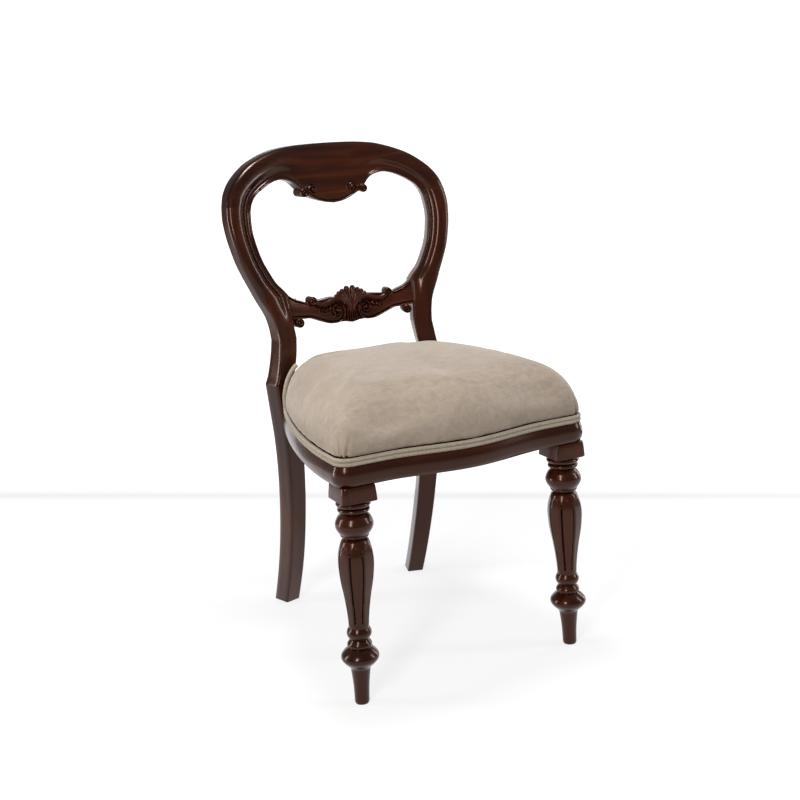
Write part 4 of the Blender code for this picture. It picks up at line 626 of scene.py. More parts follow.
@dataclass(frozen=True)
class BackForm:
    """Side view, hollow plan and outlines of the chair's back."""

    rail_low: float = 0.378
    rail_top: float = 0.4275
    knee: float = 0.464
    waist: float = 0.544
    joint_low: float = 0.578
    joint_size: float = 0.0445
    crest_joint: float = 0.790
    crest_rise: float = 0.100
    back_setback: float = 0.3895
    rake_start: float = 0.380
    rake_radius: float = 0.80
    bend_start: float = 0.500
    bend_radius: float = 0.30
    lean: float = 0.17
    crest_radius: float = 2.5
    hollow_slope: float = 0.3057
    hollow_width: float = 0.160
    leg_twist: float = 0.113
    twist_x: float = 0.140
    foot_edges: tuple[float, float] = (0.1235, 0.1535)
    knee_edges: tuple[float, float] = (0.136, 0.1745)
    waist_edges: tuple[float, float] = (0.1227, 0.1576)
    joint_x: float = 0.1255
    balloon_half: float = 0.2228
    opening_half: float = 0.1793
    crest_middle: float = 0.034
    front_reach: float = 0.051
    twist_low_share: float = -0.47
    leg_shares: tuple = (
        (0.0, 0.0, 0.0), (0.22, -0.13, 0.02), (0.43, -0.05, 0.12), (0.65, 0.11, 0.31),
        (0.78, 0.36, 0.50), (0.90, 0.70, 0.77), (1.0, 1.0, 1.0),
    )
    knee_shares: tuple = (
        (0.0, 0.0, 0.0), (0.2, 0.19, 0.39), (0.575, 0.68, 0.74), (1.0, 1.0, 1.0),
    )
    arm_outer: tuple = (
        (0.0, 0.0), (0.09, 0.035), (0.18, 0.12), (0.31, 0.36), (0.40, 0.51), (0.49, 0.66),
        (0.58, 0.79), (0.675, 0.885), (0.77, 0.957), (0.90, 1.0), (1.0, 0.961),
    )
    arm_inner: tuple = (
        (0.0, 0.0), (0.07, 0.17), (0.145, 0.385), (0.285, 0.625), (0.43, 0.82),
        (0.63, 0.965), (0.75, 1.0), (0.92, 0.955), (1.0, 0.877),
    )
    crest_outer: tuple = (
        (1.0, 0.0), (0.966, 0.225), (0.89, 0.455), (0.7535, 0.69), (0.612, 0.835),
        (0.475, 0.93), (0.379, 0.966), (0.293, 0.984), (0.217, 0.992), (0.111, 0.998),
        (0.0, 1.0),
    )
    crest_inner: tuple = (
        (1.0, 0.0), (0.953, 0.115), (0.874, 0.221), (0.763, 0.325), (0.665, 0.38),
        (0.571, 0.388), (0.452, 0.314), (0.35, 0.13), (0.243, 0.005), (0.116, -0.075),
        (0.0, -0.11),
    )
    cross_rail: tuple = (
        (1.0, 0.0, 1.0), (0.90, -0.01, 0.81), (0.79, -0.05, 0.697), (0.70, -0.068, 0.591),
        (0.61, -0.16, 0.57), (0.50, -0.29, 0.60), (0.38, -0.405, 0.63), (0.28, -0.43, 0.66),
        (0.15, -0.405, 0.62), (0.0, -0.47, 0.62),
    )
    thickness: tuple = ((0.0, 0.0382), (0.464, 0.0364), (0.544, 0.0334), (0.790, 0.030))

    def profile(self, z: Array) -> Array:
        """Setback of the back's front face on the plane of symmetry."""
        z = np.asarray(z, float)
        bend = self.lean * self.bend_radius
        rise = z - self.bend_start
        rest = rise - bend
        low = self.back_setback + np.maximum(self.rake_start - z, 0) ** 2 / (2 * self.rake_radius)
        curve = self.back_setback + np.clip(rise, 0, bend) ** 2 / (2 * self.bend_radius)
        high = np.maximum(rest, 0) * self.lean + np.maximum(rest, 0) ** 2 / (2 * self.crest_radius)
        return np.where(z < self.rake_start, low, curve + high)

    def twist(self, z: Array) -> Array:
        """Extra turn of the leg's face at a height."""
        lowest = self.joint_low + self.twist_low_share * self.joint_size
        return self.leg_twist * (1 - ease((np.asarray(z, float) - self.knee) / (lowest - self.knee)))

    def setback(self, x: Array, z: Array) -> Array:
        """Setback of the hollow front face."""
        hollow = self.hollow_slope * (np.hypot(x, self.hollow_width) - self.hollow_width)
        return self.profile(z) - hollow - self.twist(z) * (np.abs(x) - self.twist_x)

    def angle(self, x: Array, z: Array) -> Array:
        """Turn in plan of that face on the right side."""
        slope = self.hollow_slope * np.abs(x) / np.hypot(x, self.hollow_width)
        return np.arctan(slope + self.twist(z) * (np.abs(x) > 1e-6))

    def shift(self) -> float:
        """How far the frame's origin lies behind the front legs, negated."""
        reach = float(self.profile(self.crest_joint + self.crest_rise)) + self.crest_middle
        return (self.front_reach - reach) / 2

    def points(self, x: Array, z: Array, depth: Array) -> Array:
        """Points of the right half of the back at depths behind its face.

        Args:
            x: Distances from the plane of symmetry.
            z: Heights.
            depth: Distances behind the front face, square to it in plan.

        Returns:
            The points, one in each row of the last axis.
        """
        x, z, depth = np.broadcast_arrays(x, z, depth)
        turn = self.angle(x, z)
        y = self.setback(x, z) + depth * np.cos(turn) + self.shift()
        return np.stack([x + depth * np.sin(turn), y, z], -1)

    def stile_edges(self, z: Array) -> tuple[Array, Array]:
        """Inner and outer x of a rear leg and its arm.

        Args:
            z: Heights, from the floor to the crest's joint.

        Returns:
            The inner and the outer edge at each height.
        """
        z = np.atleast_1d(np.asarray(z, float))
        inner, outer = np.zeros_like(z), np.zeros_like(z)
        low = z <= self.knee
        mid = (z > self.knee) & (z <= self.waist)
        high = z > self.waist
        for mask, table, start, end, first, last in (
            (low, self.leg_shares, self.foot_edges, self.knee_edges, 0.0, self.knee),
            (mid, self.knee_shares, self.knee_edges, self.waist_edges, self.knee, self.waist),
        ):
            at = (z[mask] - first) / (last - first)
            share_in = hermite([row[:2] for row in table], at)
            share_out = hermite([(row[0], row[2]) for row in table], at)
            inner[mask] = start[0] + (end[0] - start[0]) * share_in
            outer[mask] = start[1] + (end[1] - start[1]) * share_out
        at = (z[high] - self.waist) / (self.crest_joint - self.waist)
        outer[high] = self.waist_edges[1] + (self.balloon_half - self.waist_edges[1]) * hermite(
            self.arm_outer, at
        )
        top = self.joint_low + self.joint_size
        neck = self.waist_edges[0] + (self.joint_x - self.waist_edges[0]) * ease(
            (z - self.waist) / (self.joint_low - self.waist)
        )
        arm = self.joint_x + (self.opening_half - self.joint_x) * hermite(
            self.arm_inner, np.clip((z - top) / (self.crest_joint - top), 0, 1)
        )
        inner[high] = np.where(z <= top, neck, arm)[high]
        return inner, outer

    def stile_thickness(self, z: Array) -> Array:
        """Front-to-back size of a rear leg at each height."""
        return hermite(self.thickness, z)

    def crest_lines(self, steps: int) -> tuple[Array, Array]:
        """Inner and outer (x, z) outlines of the crest's right half."""
        inner_x, outer_x = (float(edge[0]) for edge in self.stile_edges(self.crest_joint))
        inner = [(x * inner_x, self.crest_joint + rise * self.crest_rise) for x, rise in self.crest_inner]
        outer = [(x * outer_x, self.crest_joint + rise * self.crest_rise) for x, rise in self.crest_outer]
        return smooth_path(inner, steps), smooth_path(outer, steps)

    def cross_lines(self, steps: int) -> Array:
        """Rows of x, lower edge and upper edge of the cross rail's right half."""
        rows = [
            (x * self.joint_x, self.joint_low + low * self.joint_size, self.joint_low + top * self.joint_size)
            for x, low, top in self.cross_rail
        ]
        return smooth_path(rows, steps)


@dataclass(frozen=True)
class Bead:
    """A carved line: a rounded cord along a path, thinning from start to end."""

    path: tuple
    start_radius: float
    end_radius: float
    lift: float = 1.0
    steps: int = 6

    def nearest(self, x: Array, z: Array) -> tuple[Array, Array]:
        """Distance of each place from the line, and the line's radius there."""
        distance, where = line_distance(x, z, smooth_path(self.path, self.steps))
        return distance, self.start_radius + (self.end_radius - self.start_radius) * where

    def height(self, x: Array, z: Array) -> Array:
        """How far the line stands over its ground at each place."""
        distance, radius = self.nearest(x, z)
        return self.lift * np.sqrt(np.maximum(radius ** 2 - distance ** 2, 0))

    def trench(self, x: Array, z: Array, spread: float) -> Array:
        """Depth share, 0 to 1, of the groove that sets the line off."""
        distance, radius = self.nearest(x, z)
        return np.exp(-(((distance - radius) / spread) ** 2))


@dataclass
class CarvedBack:
    """Rear legs, crest and cross rail with their mouldings and carving."""

    form: BackForm
    stile_rows: int = 300
    across: int = 80
    crest_steps: int = 30
    crest_across: int = 100
    cross_steps: int = 36
    cross_across: int = 100
    cross_thickness: float = 0.022
    joint_thickness: float = 0.030
    edge_round: float = 0.0016
    moulding: tuple = (
        (0.0, 0.150), (0.015, 0.095), (0.050, 0.055), (0.085, 0.085), (0.105, 0.150),
        (0.150, 0.205), (0.230, 0.225), (0.330, 0.160), (0.430, 0.060), (0.530, 0.012),
        (0.640, 0.0), (0.760, 0.018), (0.860, 0.065), (0.930, 0.130), (0.975, 0.220), (1.0, 0.320),
    )
    plain: tuple = (
        (0.0, 0.05), (0.02, 0.018), (0.05, 0.0), (0.5, 0.0), (0.95, 0.0), (0.98, 0.018), (1.0, 0.05),
    )
    rib_tips: tuple = (
        (0.0062, 0.6209, 0.0055), (0.0160, 0.6170, 0.0050), (0.0238, 0.6138, 0.0044),
        (0.0297, 0.6097, 0.0037), (0.0335, 0.6054, 0.0031),
    )
    lobe: tuple = (
        (0.0, 0.20), (0.02, 0.14), (0.05, 0.125), (0.12, 0.15), (0.25, 0.165), (0.45, 0.105),
        (0.65, 0.035), (0.80, 0.0), (0.92, 0.055), (0.97, 0.125), (1.0, 0.22),
    )
    edge_crowding: float = 0.35
    # Painted shade in the hollows of the carving: the depth at which it is full, and its strength.
    painted_shade_depth: float = 0.0012
    painted_shade_strength: float = 0.75
    arm_fade_start: float = 0.012
    arm_fade_length: float = 0.075
    crest_bead_span: tuple[float, float] = (0.058, 0.150)
    crest_bead_inset: float = 0.0024
    crest_highest: float = 0.0045
    crest_trench: float = 0.0020
    crest_scroll: tuple = (
        (0.0, -0.0090), (0.014, -0.0078), (0.030, -0.0030), (0.043, 0.0040), (0.0500, 0.0115),
        (0.0490, 0.0185), (0.0430, 0.0225), (0.0365, 0.0205), (0.0345, 0.0150), (0.0385, 0.0125),
    )
    crest_eye: tuple = ((0.0392, 0.0160), (0.0402, 0.0172))
    cross_ground: tuple = (
        (0.0, 0.20), (0.03, 0.14), (0.10, 0.12), (0.5, 0.06), (0.86, 0.13), (0.95, 0.16), (1.0, 0.24),
    )
    cross_highest: float = 0.0062
    cross_trench: float = 0.0022
    bottom_bead: tuple[float, float] = (0.026, 0.0020)
    top_bead: tuple[float, float] = (0.088, 0.0022)
    cross_scroll: tuple = (
        (0.0225, 0.5640), (0.0170, 0.5700), (0.0148, 0.5780), (0.0160, 0.5865), (0.0215, 0.5930),
        (0.0290, 0.5945), (0.0360, 0.5905), (0.0385, 0.5835), (0.0360, 0.5768), (0.0300, 0.5745),
        (0.0250, 0.5780), (0.0252, 0.5830),
    )
    cross_eye: tuple = ((0.0290, 0.5825), (0.0300, 0.5850))
    leaf: tuple = (
        (0.0150, 0.5960), (0.0240, 0.6010), (0.0360, 0.6020), (0.0480, 0.5985), (0.0580, 0.5965),
        (0.0670, 0.5985), (0.0745, 0.6035), (0.0790, 0.6085),
    )
    vein: tuple = (
        (0.0180, 0.5955), (0.0330, 0.5975), (0.0470, 0.5935), (0.0590, 0.5915), (0.0700, 0.5945),
    )
    leaf_lobes: tuple = ((0.0430, 0.5890, 0.0036), (0.0515, 0.5870, 0.0031), (0.0590, 0.5880, 0.0026))
    stems: tuple = (0.0, 0.0045, 0.0095)
    stem_line: tuple = ((1.0, 0.5575), (1.0, 0.5680), (0.85, 0.5800), (0.6, 0.5930))
    roll_section: tuple = ((1.0, 1.0), (1.0, 0.55), (1.0, 0.18), (0.93, 0.04), (0.80, 0.0))
    roll_turns: float = 2.2
    crest_roll: tuple = (0.0610, 0.0122, 0.0082, -0.0030, 0.028, 1.0)
    rail_rolls: tuple = (
        (0.0780, 0.6062, 0.0078, -0.0040, 0.016, -1.0), (0.1116, 0.5704, 0.0090, -0.0020, 0.018, 1.0),
    )

    def member(self, name: str, inner: Array, outer: Array, thickness: Array, depth: Array,
               caps: tuple[bool, bool]) -> bpy.types.Mesh:
        """Skins one member from its edges and the depth of its face.

        Args:
            name: Name of the mesh.
            inner: Inner edge's (x, z), one a row.
            outer: Outer edge's (x, z), one a row.
            thickness: Front-to-back size in each row.
            depth: Depth of the face behind the back's surface, rows x places across.
            caps: Whether the first and the last ring are closed.

        Returns:
            The mesh, with a recess attribute of painted shade in its hollows.
        """
        front = self.form.points(*across_face(inner, outer, self.spread(depth.shape[1])), depth)
        size = thickness[:, None]
        soft = self.edge_round
        walls = []
        for spot, face in ((outer, depth[:, -1:]), (inner, depth[:, :1])):
            reach = face + (size - soft - face) * np.array([0.25, 0.5, 0.75, 1.0])
            walls.append(self.form.points(spot[:, :1], spot[:, 1:], reach))
        inset = np.array([0.3, 1.0]) * soft / np.linalg.norm(outer - inner, axis=1)[:, None]
        middle = np.linspace(0.85, 0.15, 5)[None].repeat(len(inset), 0)
        back_shares = np.concatenate([1 - inset, middle, inset[:, ::-1]], axis=1)
        drop = np.zeros_like(back_shares)
        drop[:, 0] = drop[:, -1] = soft * 0.3
        back = self.form.points(*across_face(inner, outer, back_shares), size - drop)
        rings = np.concatenate([front, walls[0], back, walls[1][:, ::-1]], axis=1)
        mesh = shell_mesh(name, rings, caps[0], caps[1])
        # Painted shade: points sunk below their neighbours get a recess value that darkens the wood.
        ground = np.median(depth, axis=1, keepdims=True)
        smoothed = (np.roll(depth, 4, axis=1) + np.roll(depth, -4, axis=1)) / 2
        hollow = np.clip((depth - smoothed) / self.painted_shade_depth, 0, 1)
        recess = np.zeros(rings.shape[:2])
        recess[:, : depth.shape[1]] = hollow * (depth > ground * 0.3)
        mark_painted_shade(mesh, recess * self.painted_shade_strength)
        return mesh

    def spread(self, count: int) -> Array:
        """Shares across a face, closer together at its edges."""
        shares = np.linspace(0, 1, count)
        return shares - self.edge_crowding * np.sin(2 * pi * shares) / (2 * pi)

    def stile(self) -> bpy.types.Mesh:
        """Right rear leg and arm, floor to crest joint."""
        form = self.form
        z = np.linspace(0, form.crest_joint, self.stile_rows)
        for height in (form.knee, form.waist, form.joint_low, form.joint_low + form.joint_size):
            z[np.argmin(np.abs(z - height))] = height
        inner, outer = form.stile_edges(z)
        thickness = form.stile_thickness(z)
        shares = self.spread(self.across)
        plain = hermite(self.plain, shares)
        moulded = hermite(self.moulding, shares)
        carved = ease((z - form.joint_low + self.arm_fade_start) / self.arm_fade_length)[:, None]
        depth = (plain + (moulded - plain) * carved) * thickness[:, None]
        rows = (np.stack([inner, z], 1), np.stack([outer, z], 1))
        return self.member("stile", *rows, thickness, depth, (True, True))

    def crest(self) -> bpy.types.Mesh:
        """Right half of the crest with its moulding, beads and small volutes."""
        form = self.form
        inner, outer = form.crest_lines(self.crest_steps)
        share = 1 - inner[:, 0] / inner[0, 0]
        thickness = self.joint_thickness + (form.crest_middle - self.joint_thickness) * ease(share)
        shares = self.spread(self.crest_across)
        moulded = hermite(self.moulding, shares)
        lobe = hermite(self.lobe, shares)
        change = ease(1 - (inner[:, 0] - 0.052) / 0.068)[:, None]
        depth = (moulded + (lobe - moulded) * change) * thickness[:, None]
        x, z = across_face(inner, outer, shares)
        first, last = self.crest_bead_span
        along = np.array([spot for spot in inner if first < spot[0] < last])[::9]
        bead = along + np.array([0.0, self.crest_bead_inset])
        arm_bead = Bead(tuple(map(tuple, bead)), self.crest_bead_inset, 0.0028, 1.2)
        scroll, eye = (tuple((at, form.crest_joint + rise) for at, rise in rows)
                       for rows in (self.crest_scroll, self.crest_eye))
        lower, eye = Bead(scroll, 0.0026, 0.0019, 1.25), Bead(eye, 0.0040, 0.0034, 1.2)
        lines = np.maximum.reduce([line.height(x, z) for line in (arm_bead, lower, eye)])
        trench = np.maximum.reduce([line.trench(x, z, 0.0011) for line in (lower, eye)])
        depth = depth + self.crest_trench * trench * ease((0.075 - x) / 0.03) - lines
        depth = np.maximum(depth, -self.crest_highest)
        return self.member("crest", inner, outer, thickness, depth, (True, False))

    def scroll_roll(self, x: float, z: float, radius: float, front: float, back: float,
                    hand: float) -> bpy.types.Mesh:
        """Rolled end of a scroll: a short barrel whose front face winds inwards.

        Args:
            x: Centre's distance from the plane of symmetry.
            z: Centre's height.
            radius: Outer radius.
            front: Depth of its front face.
            back: Depth at which it ends.
            hand: Which way it winds, +1 or -1.

        Returns:
            The mesh.
        """
        turn = full_turn(32)
        rows = [(scale, front + (back - front) * level) for scale, level in self.roll_section]
        for scale in np.linspace(0.72, 0.06, 12):
            wave = 0.5 + 0.5 * np.cos(turn * hand - (1 - scale) * self.roll_turns * 2 * pi)
            dip = 0.34 * wave * ease(np.array((1 - scale) * 4)) - 0.10 * (1 - scale)
            rows.append((scale, front + radius * dip))
        rings = []
        for scale, depth in rows:
            reach = radius * scale
            rings.append(self.form.points(x + reach * np.cos(turn), z + reach * np.sin(turn), depth))
        return tidy_mesh(shell_mesh("scroll", np.array(rings)))

    def cross(self) -> bpy.types.Mesh:
        """Right half of the cross rail with its beads, C scroll and leaf."""
        lines = self.form.cross_lines(self.cross_steps)
        low, top = lines[:, :2], lines[:, ::2]
        shares = self.spread(self.cross_across)
        x, z = across_face(low, top, shares)
        ground = hermite(self.cross_ground, shares) * self.cross_thickness
        (low_start, low_inset), (top_start, top_inset) = self.bottom_bead, self.top_bead
        edge_low = low[low[:, 0] > low_start][::12] + np.array([0.0, low_inset])
        edge_top = top[top[:, 0] > top_start][::12] + np.array([0.0, -top_inset])
        carving = [
            Bead(tuple(map(tuple, edge_low)) + self.cross_scroll, 0.0025, 0.0021, 1.7, 5),
            Bead(tuple(map(tuple, edge_top)), 0.0021, 0.0019, 1.1, 5),
            Bead(self.leaf, 0.0054, 0.0046, 1.15, 6),
            Bead(self.vein, 0.0019, 0.0013, 1.5, 6),
            Bead(self.cross_eye, 0.0036, 0.0028, 1.5, 2),
        ]
        carving += [Bead(((cx, cz), (cx + 0.004, cz - 0.003)), radius, radius * 0.7, 1.3, 2)
                    for cx, cz, radius in self.leaf_lobes]
        carving += [Bead(tuple((cx * share, height) for share, height in self.stem_line),
                         0.0024, 0.0016, 1.3, 4) for cx in self.stems]
        relief = np.maximum.reduce([line.height(x, z) for line in carving])
        trench = np.maximum.reduce([line.trench(x, z, 0.0010) for line in carving])
        depth = np.maximum(ground + self.cross_trench * trench - relief, -self.cross_highest)
        thickness = np.full(len(low), self.cross_thickness)
        return self.member("cross", low, top, thickness, depth, (True, False))

    def shell(self) -> bpy.types.Mesh:
        """Fan of round-ended ribs that rises over the middle of the cross rail."""
        ribs = []
        for tip_x, tip_z, radius in self.rib_tips:
            root = 0.0010 + tip_x * 0.12
            rise = 0.6000 + (tip_z - 0.6040) * 0.40
            stops = ((root, 0.5780), (root * 1.4, 0.5880), (tip_x * 0.60, rise), (tip_x, tip_z))
            path = smooth_path(stops, 7)
            share = np.linspace(0, 1, len(path))
            bulge = -0.0030 * np.sin(pi * np.clip(share * 0.9, 0, 1)) - 0.0010
            spine = self.form.points(path[:, 0], path[:, 1], bulge)
            ribs.append(self.tube(spine, radius * (0.20 + 0.80 * share)))
        return joined("shell", ribs)

    def tube(self, spine: Array, girth: Array, sides: int = 14) -> bpy.types.Mesh:
        """Round-ended tube along points.

        Args:
            spine: Points of its middle line.
            girth: Radius at each point.
            sides: Number of sides.

        Returns:
            The mesh.
        """
        ahead = unit(np.gradient(spine, axis=0))
        side = unit(np.cross(ahead, np.array([0.0, 1.0, 0.0])))
        up = np.cross(side, ahead)
        rows = list(zip(spine, girth, side, up))
        for lift in (0.5, 0.8, 0.97):
            spot = spine[-1] + ahead[-1] * girth[-1] * lift
            rows.append((spot, girth[-1] * np.sqrt(1 - lift ** 2), side[-1], up[-1]))
        turn = full_turn(sides)[:, None]
        rings = [spot + size * (np.cos(turn) * a + np.sin(turn) * b) for spot, size, a, b in rows]
        return tidy_mesh(shell_mesh("rib", np.array(rings)))

    def build(self) -> None:
        """Makes and dresses the pieces of the back."""
        upright = PolishedMahogany(Grain.UPRIGHT).build("mahogany_upright", carved=True)
        across = PolishedMahogany(Grain.ACROSS).build("mahogany_across", carved=True)
        make_pair("carved_rear_leg", tidy_mesh(self.stile()), upright, "rear_leg")
        for name, half, node in (
            ("carved_crest", self.crest(), "crest_rail"),
            ("carved_cross_rail", self.cross(), "cross_rail"),
        ):
            make_piece(name, tidy_mesh(both_halves(name, half), SEAM_WELD), across, [node])
        x, rise, *section = self.crest_roll
        rolls = [self.scroll_roll(x, self.form.crest_joint + rise, *section)]
        rolls += [self.scroll_roll(*row) for row in self.rail_rolls]
        make_piece("scroll_ends", both_halves("rolls", joined("rolls", rolls)), across)
        make_piece("shell_fan", both_halves("shell", self.shell()), across)


@dataclass
class FrontLegs:
    """Turned front legs with faceted bulbs, and their square blocks."""

    form: BackForm
    leg_x: float = 0.200
    turned_height: float = 0.3507
    block_half: float = 0.0285
    block_flare: float = 0.0015
    radius: float = 0.0315
    foot_share: float = 0.356
    splay: float = 0.0202
    splay_top: float = 0.32994
    sides: int = 144
    groove: float = 0.0038
    bulb: tuple[float, float] = (0.1345, 0.2834)
    elements: tuple = (
        (0.0085, 0.390, 0.0, 4), (0.1715, 0.5175, -0.032, 24), (0.2017, 0.7587, -0.054, 10),
        (0.2745, 0.715, 0.262, 24), (0.2835, 0.585, 0.0, 5), (0.2885, 0.630, 0.0, 3),
        (0.3140, 0.560, 0.050, 10), (0.3225, 0.490, 0.0, 4), (0.3823, 0.533, 0.143, 20),
        (0.5556, 0.7524, -0.029, 60), (0.692, 0.952, 0.032, 50), (0.808, 0.705, 0.08, 44),
        (0.820, 0.560, 0.0, 5), (0.826, 0.690, 0.0, 3), (0.8368, 0.733, 0.030, 5),
        (0.9228, 0.8286, 0.203, 26), (0.940, 0.620, 0.0, 5), (0.947, 0.790, 0.0, 3),
        (0.964, 0.780, 0.050, 7), (0.969, 0.660, 0.0, 3), (0.974, 0.850, 0.0, 3),
        (0.993, 0.850, 0.050, 7), (1.0, 0.790, 0.0, 3),
    )
    # Necks of the turning and the facet grooves get painted shade; below are its spread and strength.
    necks: tuple = (0.1990, 0.2860, 0.3225, 0.3835, 0.820, 0.942, 0.969, 0.998)
    neck_spread: float = 0.0016
    neck_painted_shade: float = 0.9
    groove_spread: float = 0.0015
    groove_painted_shade: float = 0.95
    arch: float = 0.013
    tip_radius: float = 0.0005
    block_gap: float = 0.0003
    block_corners: tuple = ((1, -1, 0.009), (1, 1, 0.0022), (-1, 1, 0.0022), (-1, -1, 0.0022))
    block_rows: tuple = (
        (0.0, 0.0, -0.0012), (0.0012, 0.0012, 0.0), (0.0135, 0.5, 0.0), (0.0243, 0.9, -0.0002),
        (0.0270, 1.0, -0.0008),
    )

    def outline(self) -> Array:
        """Rows of radius and height from the floor up."""
        points = [(self.tip_radius, 0.0), (self.foot_share * self.radius, 0.0)]
        for top, share, swell, steps in self.elements:
            low_radius, low = points[-1]
            for t in np.arange(1, steps + 1) / steps:
                size = low_radius + (share * self.radius - low_radius) * t + swell * self.radius * sin(pi * t)
                points.append((size, low + (top * self.turned_height - low) * t))
        points.append((self.tip_radius, self.turned_height))
        return np.array(points)

    def turning(self) -> bpy.types.Mesh:
        """Right leg below its block."""
        rows = self.outline()
        turn = full_turn(self.sides)
        size, z = rows[:, :1], rows[:, 1:]
        half_facet = pi / 8
        phase = (np.mod(turn + pi / 2, 2 * half_facet) - half_facet) / half_facet
        low, top = self.bulb
        arch = self.arch * (1 - np.sqrt(np.maximum(1 - phase ** 2, 0)))
        fade = ease((z - low - 0.6 * arch) / 0.010) * ease((top - 0.004 - arch - z) / 0.006)
        flat = np.cos(half_facet) / np.cos(phase * half_facet)
        line = np.exp(-(((1 - np.abs(phase)) * size * pi / 8 / self.groove_spread) ** 2))
        reach = size - fade * ((1 - flat * 1.035) * size * 0.9 + self.groove * line)
        lean = self.splay * np.maximum(self.splay_top - z, 0)
        x = reach * np.cos(turn) + self.leg_x + lean
        y = reach * np.sin(turn) + self.form.shift()
        mesh = shell_mesh("turning", np.stack(np.broadcast_arrays(x, y, z), -1))
        # Painted shade in the bulb's grooves and round the necks, kept as the recess attribute.
        dark = np.clip(fade * line, 0, 1) * self.groove_painted_shade
        for share in self.necks:
            neck = np.exp(-(((z - share * self.turned_height) / self.neck_spread) ** 2))
            dark = np.maximum(dark, neck * self.neck_painted_shade)
        mark_painted_shade(mesh, dark)
        return mesh

    def block(self) -> bpy.types.Mesh:
        """Right leg's block, its outer front corner well rounded."""
        foot = self.form.rail_low - self.block_gap - self.block_rows[-1][0]
        rings = []
        for rise, share, grow in self.block_rows:
            half = self.block_half + self.block_flare * (1 - share) + grow
            ring = []
            for quarter, (sx, sy, soft) in enumerate(self.block_corners):
                for turn in np.linspace(0, pi / 2, 9) + (quarter - 1) * pi / 2:
                    ring.append((self.leg_x + sx * (half - soft) + soft * cos(turn),
                                 self.form.shift() + sy * (half - soft) + soft * sin(turn), foot + rise))
            rings.append(ring)
        return shell_mesh("block", np.array(rings))

    def build(self) -> None:
        """Makes and dresses both legs."""
        finish = PolishedMahogany(Grain.UPRIGHT).build("mahogany_turned", carved=True)
        leg = joined("leg", [tidy_mesh(self.turning()), tidy_mesh(self.block())])
        make_pair("turned_leg", leg, finish, "front_leg", 0.6)


@dataclass(frozen=True)
class SeatForm:
    """Plan of the seat's rim and the section of its rails."""

    form: BackForm
    half_width: float = 0.2357
    overhang: float = 0.031
    bow: float = 0.020
    bow_half: float = 0.155
    corner_radius: float = 0.030
    joint: float = 0.030
    curve_power: float = 1.75
    proud: float = 0.0025
    moulding_height: float = 0.033
    projection: float = 0.006
    rebate: float = 0.0113
    rail_thickness: float = 0.026
    rail_inner: float = -0.007
    rail_end_x: float = 0.170
    tangent_step: float = 4e-4
    rim_overrun: float = 0.012
    rail_profile: tuple = ((0.0, -0.83), (0.18, -0.25), (0.45, 0.0), (0.75, -0.2), (1.0, -0.7))

    def side_end(self) -> tuple[float, float]:
        """Where a side rail's outer line meets the rear leg, as x and setback."""
        outer = float(self.form.stile_edges(self.form.rail_low + self.moulding_height / 2)[1][0])
        return outer + self.proud, float(self.form.setback(outer, self.form.rail_low))

    def front_line(self, x: Array) -> Array:
        """Setback of the front rail's foremost line."""
        wave = self.bow * (1 + np.cos(pi * np.clip(x / self.bow_half, -1, 1))) / 2
        return -self.overhang - wave

    def side_line(self, setback: Array) -> Array:
        """The x of a side rail's outermost line."""
        end_x, end = self.side_end()
        share = np.maximum((setback - self.joint) / (end - self.joint), 0)
        return self.half_width - (self.half_width - end_x) * share ** self.curve_power

    def rim(self, start: float, end: float, pitch: float) -> tuple[Array, Array]:
        """Places and outward directions along the right half of the rim.

        Args:
            start: Distance along the rim from the middle of the front.
            end: Distance at which to stop.
            pitch: Spacing of the places.

        Returns:
            Places in plan, and unit directions, one a row.
        """
        line = self.rim_line()
        run = run_along(line)
        last = min(end, run[-1])
        places = np.linspace(start, last, max(int((last - start) / pitch), 2) + 1)
        near, far = (read_line(line, run, places + step) for step in (-self.tangent_step, self.tangent_step))
        ahead = unit(far - near)
        return read_line(line, run, places), np.stack([ahead[:, 1], -ahead[:, 0]], 1)

    def rim_line(self) -> Array:
        """Closely spaced places along the right half of the rim."""
        x = np.linspace(0, self.half_width - self.corner_radius, 260)
        front = np.stack([x, self.front_line(x)], 1)
        turn = np.linspace(0, pi / 2, 60)[1:]
        centre = np.array([self.half_width - self.corner_radius, self.corner_radius - self.overhang])
        corner = centre + self.corner_radius * np.stack([np.sin(turn), -np.cos(turn)], 1)
        setback = np.linspace(corner[-1, 1], self.side_end()[1] + self.rim_overrun, 420)[1:]
        side = np.stack([self.side_line(setback), setback], 1)
        return np.vstack([front, corner, side])

    def run_to(self, setback: float) -> float:
        """Distance along the rim at which the side reaches a setback."""
        line = self.rim_line()
        side = line[:, 1] > self.corner_radius - self.overhang
        return float(np.interp(setback, line[side, 1], run_along(line)[side]))

    def rim_spot(self, setback: float) -> tuple[Array, Array]:
        """Place and outward direction where the side reaches a setback."""
        run = self.run_to(setback)
        spots, outs = self.rim(run, run + 0.002, 0.002)
        return spots[0], outs[0]

    def face(self, count: int) -> Array:
        """Rows of outset and height of a rail's moulded face and its rebate."""
        shares = np.linspace(0, 1, count)
        out = hermite(self.rail_profile, shares) * self.projection
        z = self.form.rail_low + shares * self.moulding_height
        ledge_low = self.form.rail_low + self.moulding_height
        ledge = [(-self.rebate, ledge_low), (-self.rebate, self.form.rail_top)]
        return np.vstack([np.stack([out, z], 1), ledge])


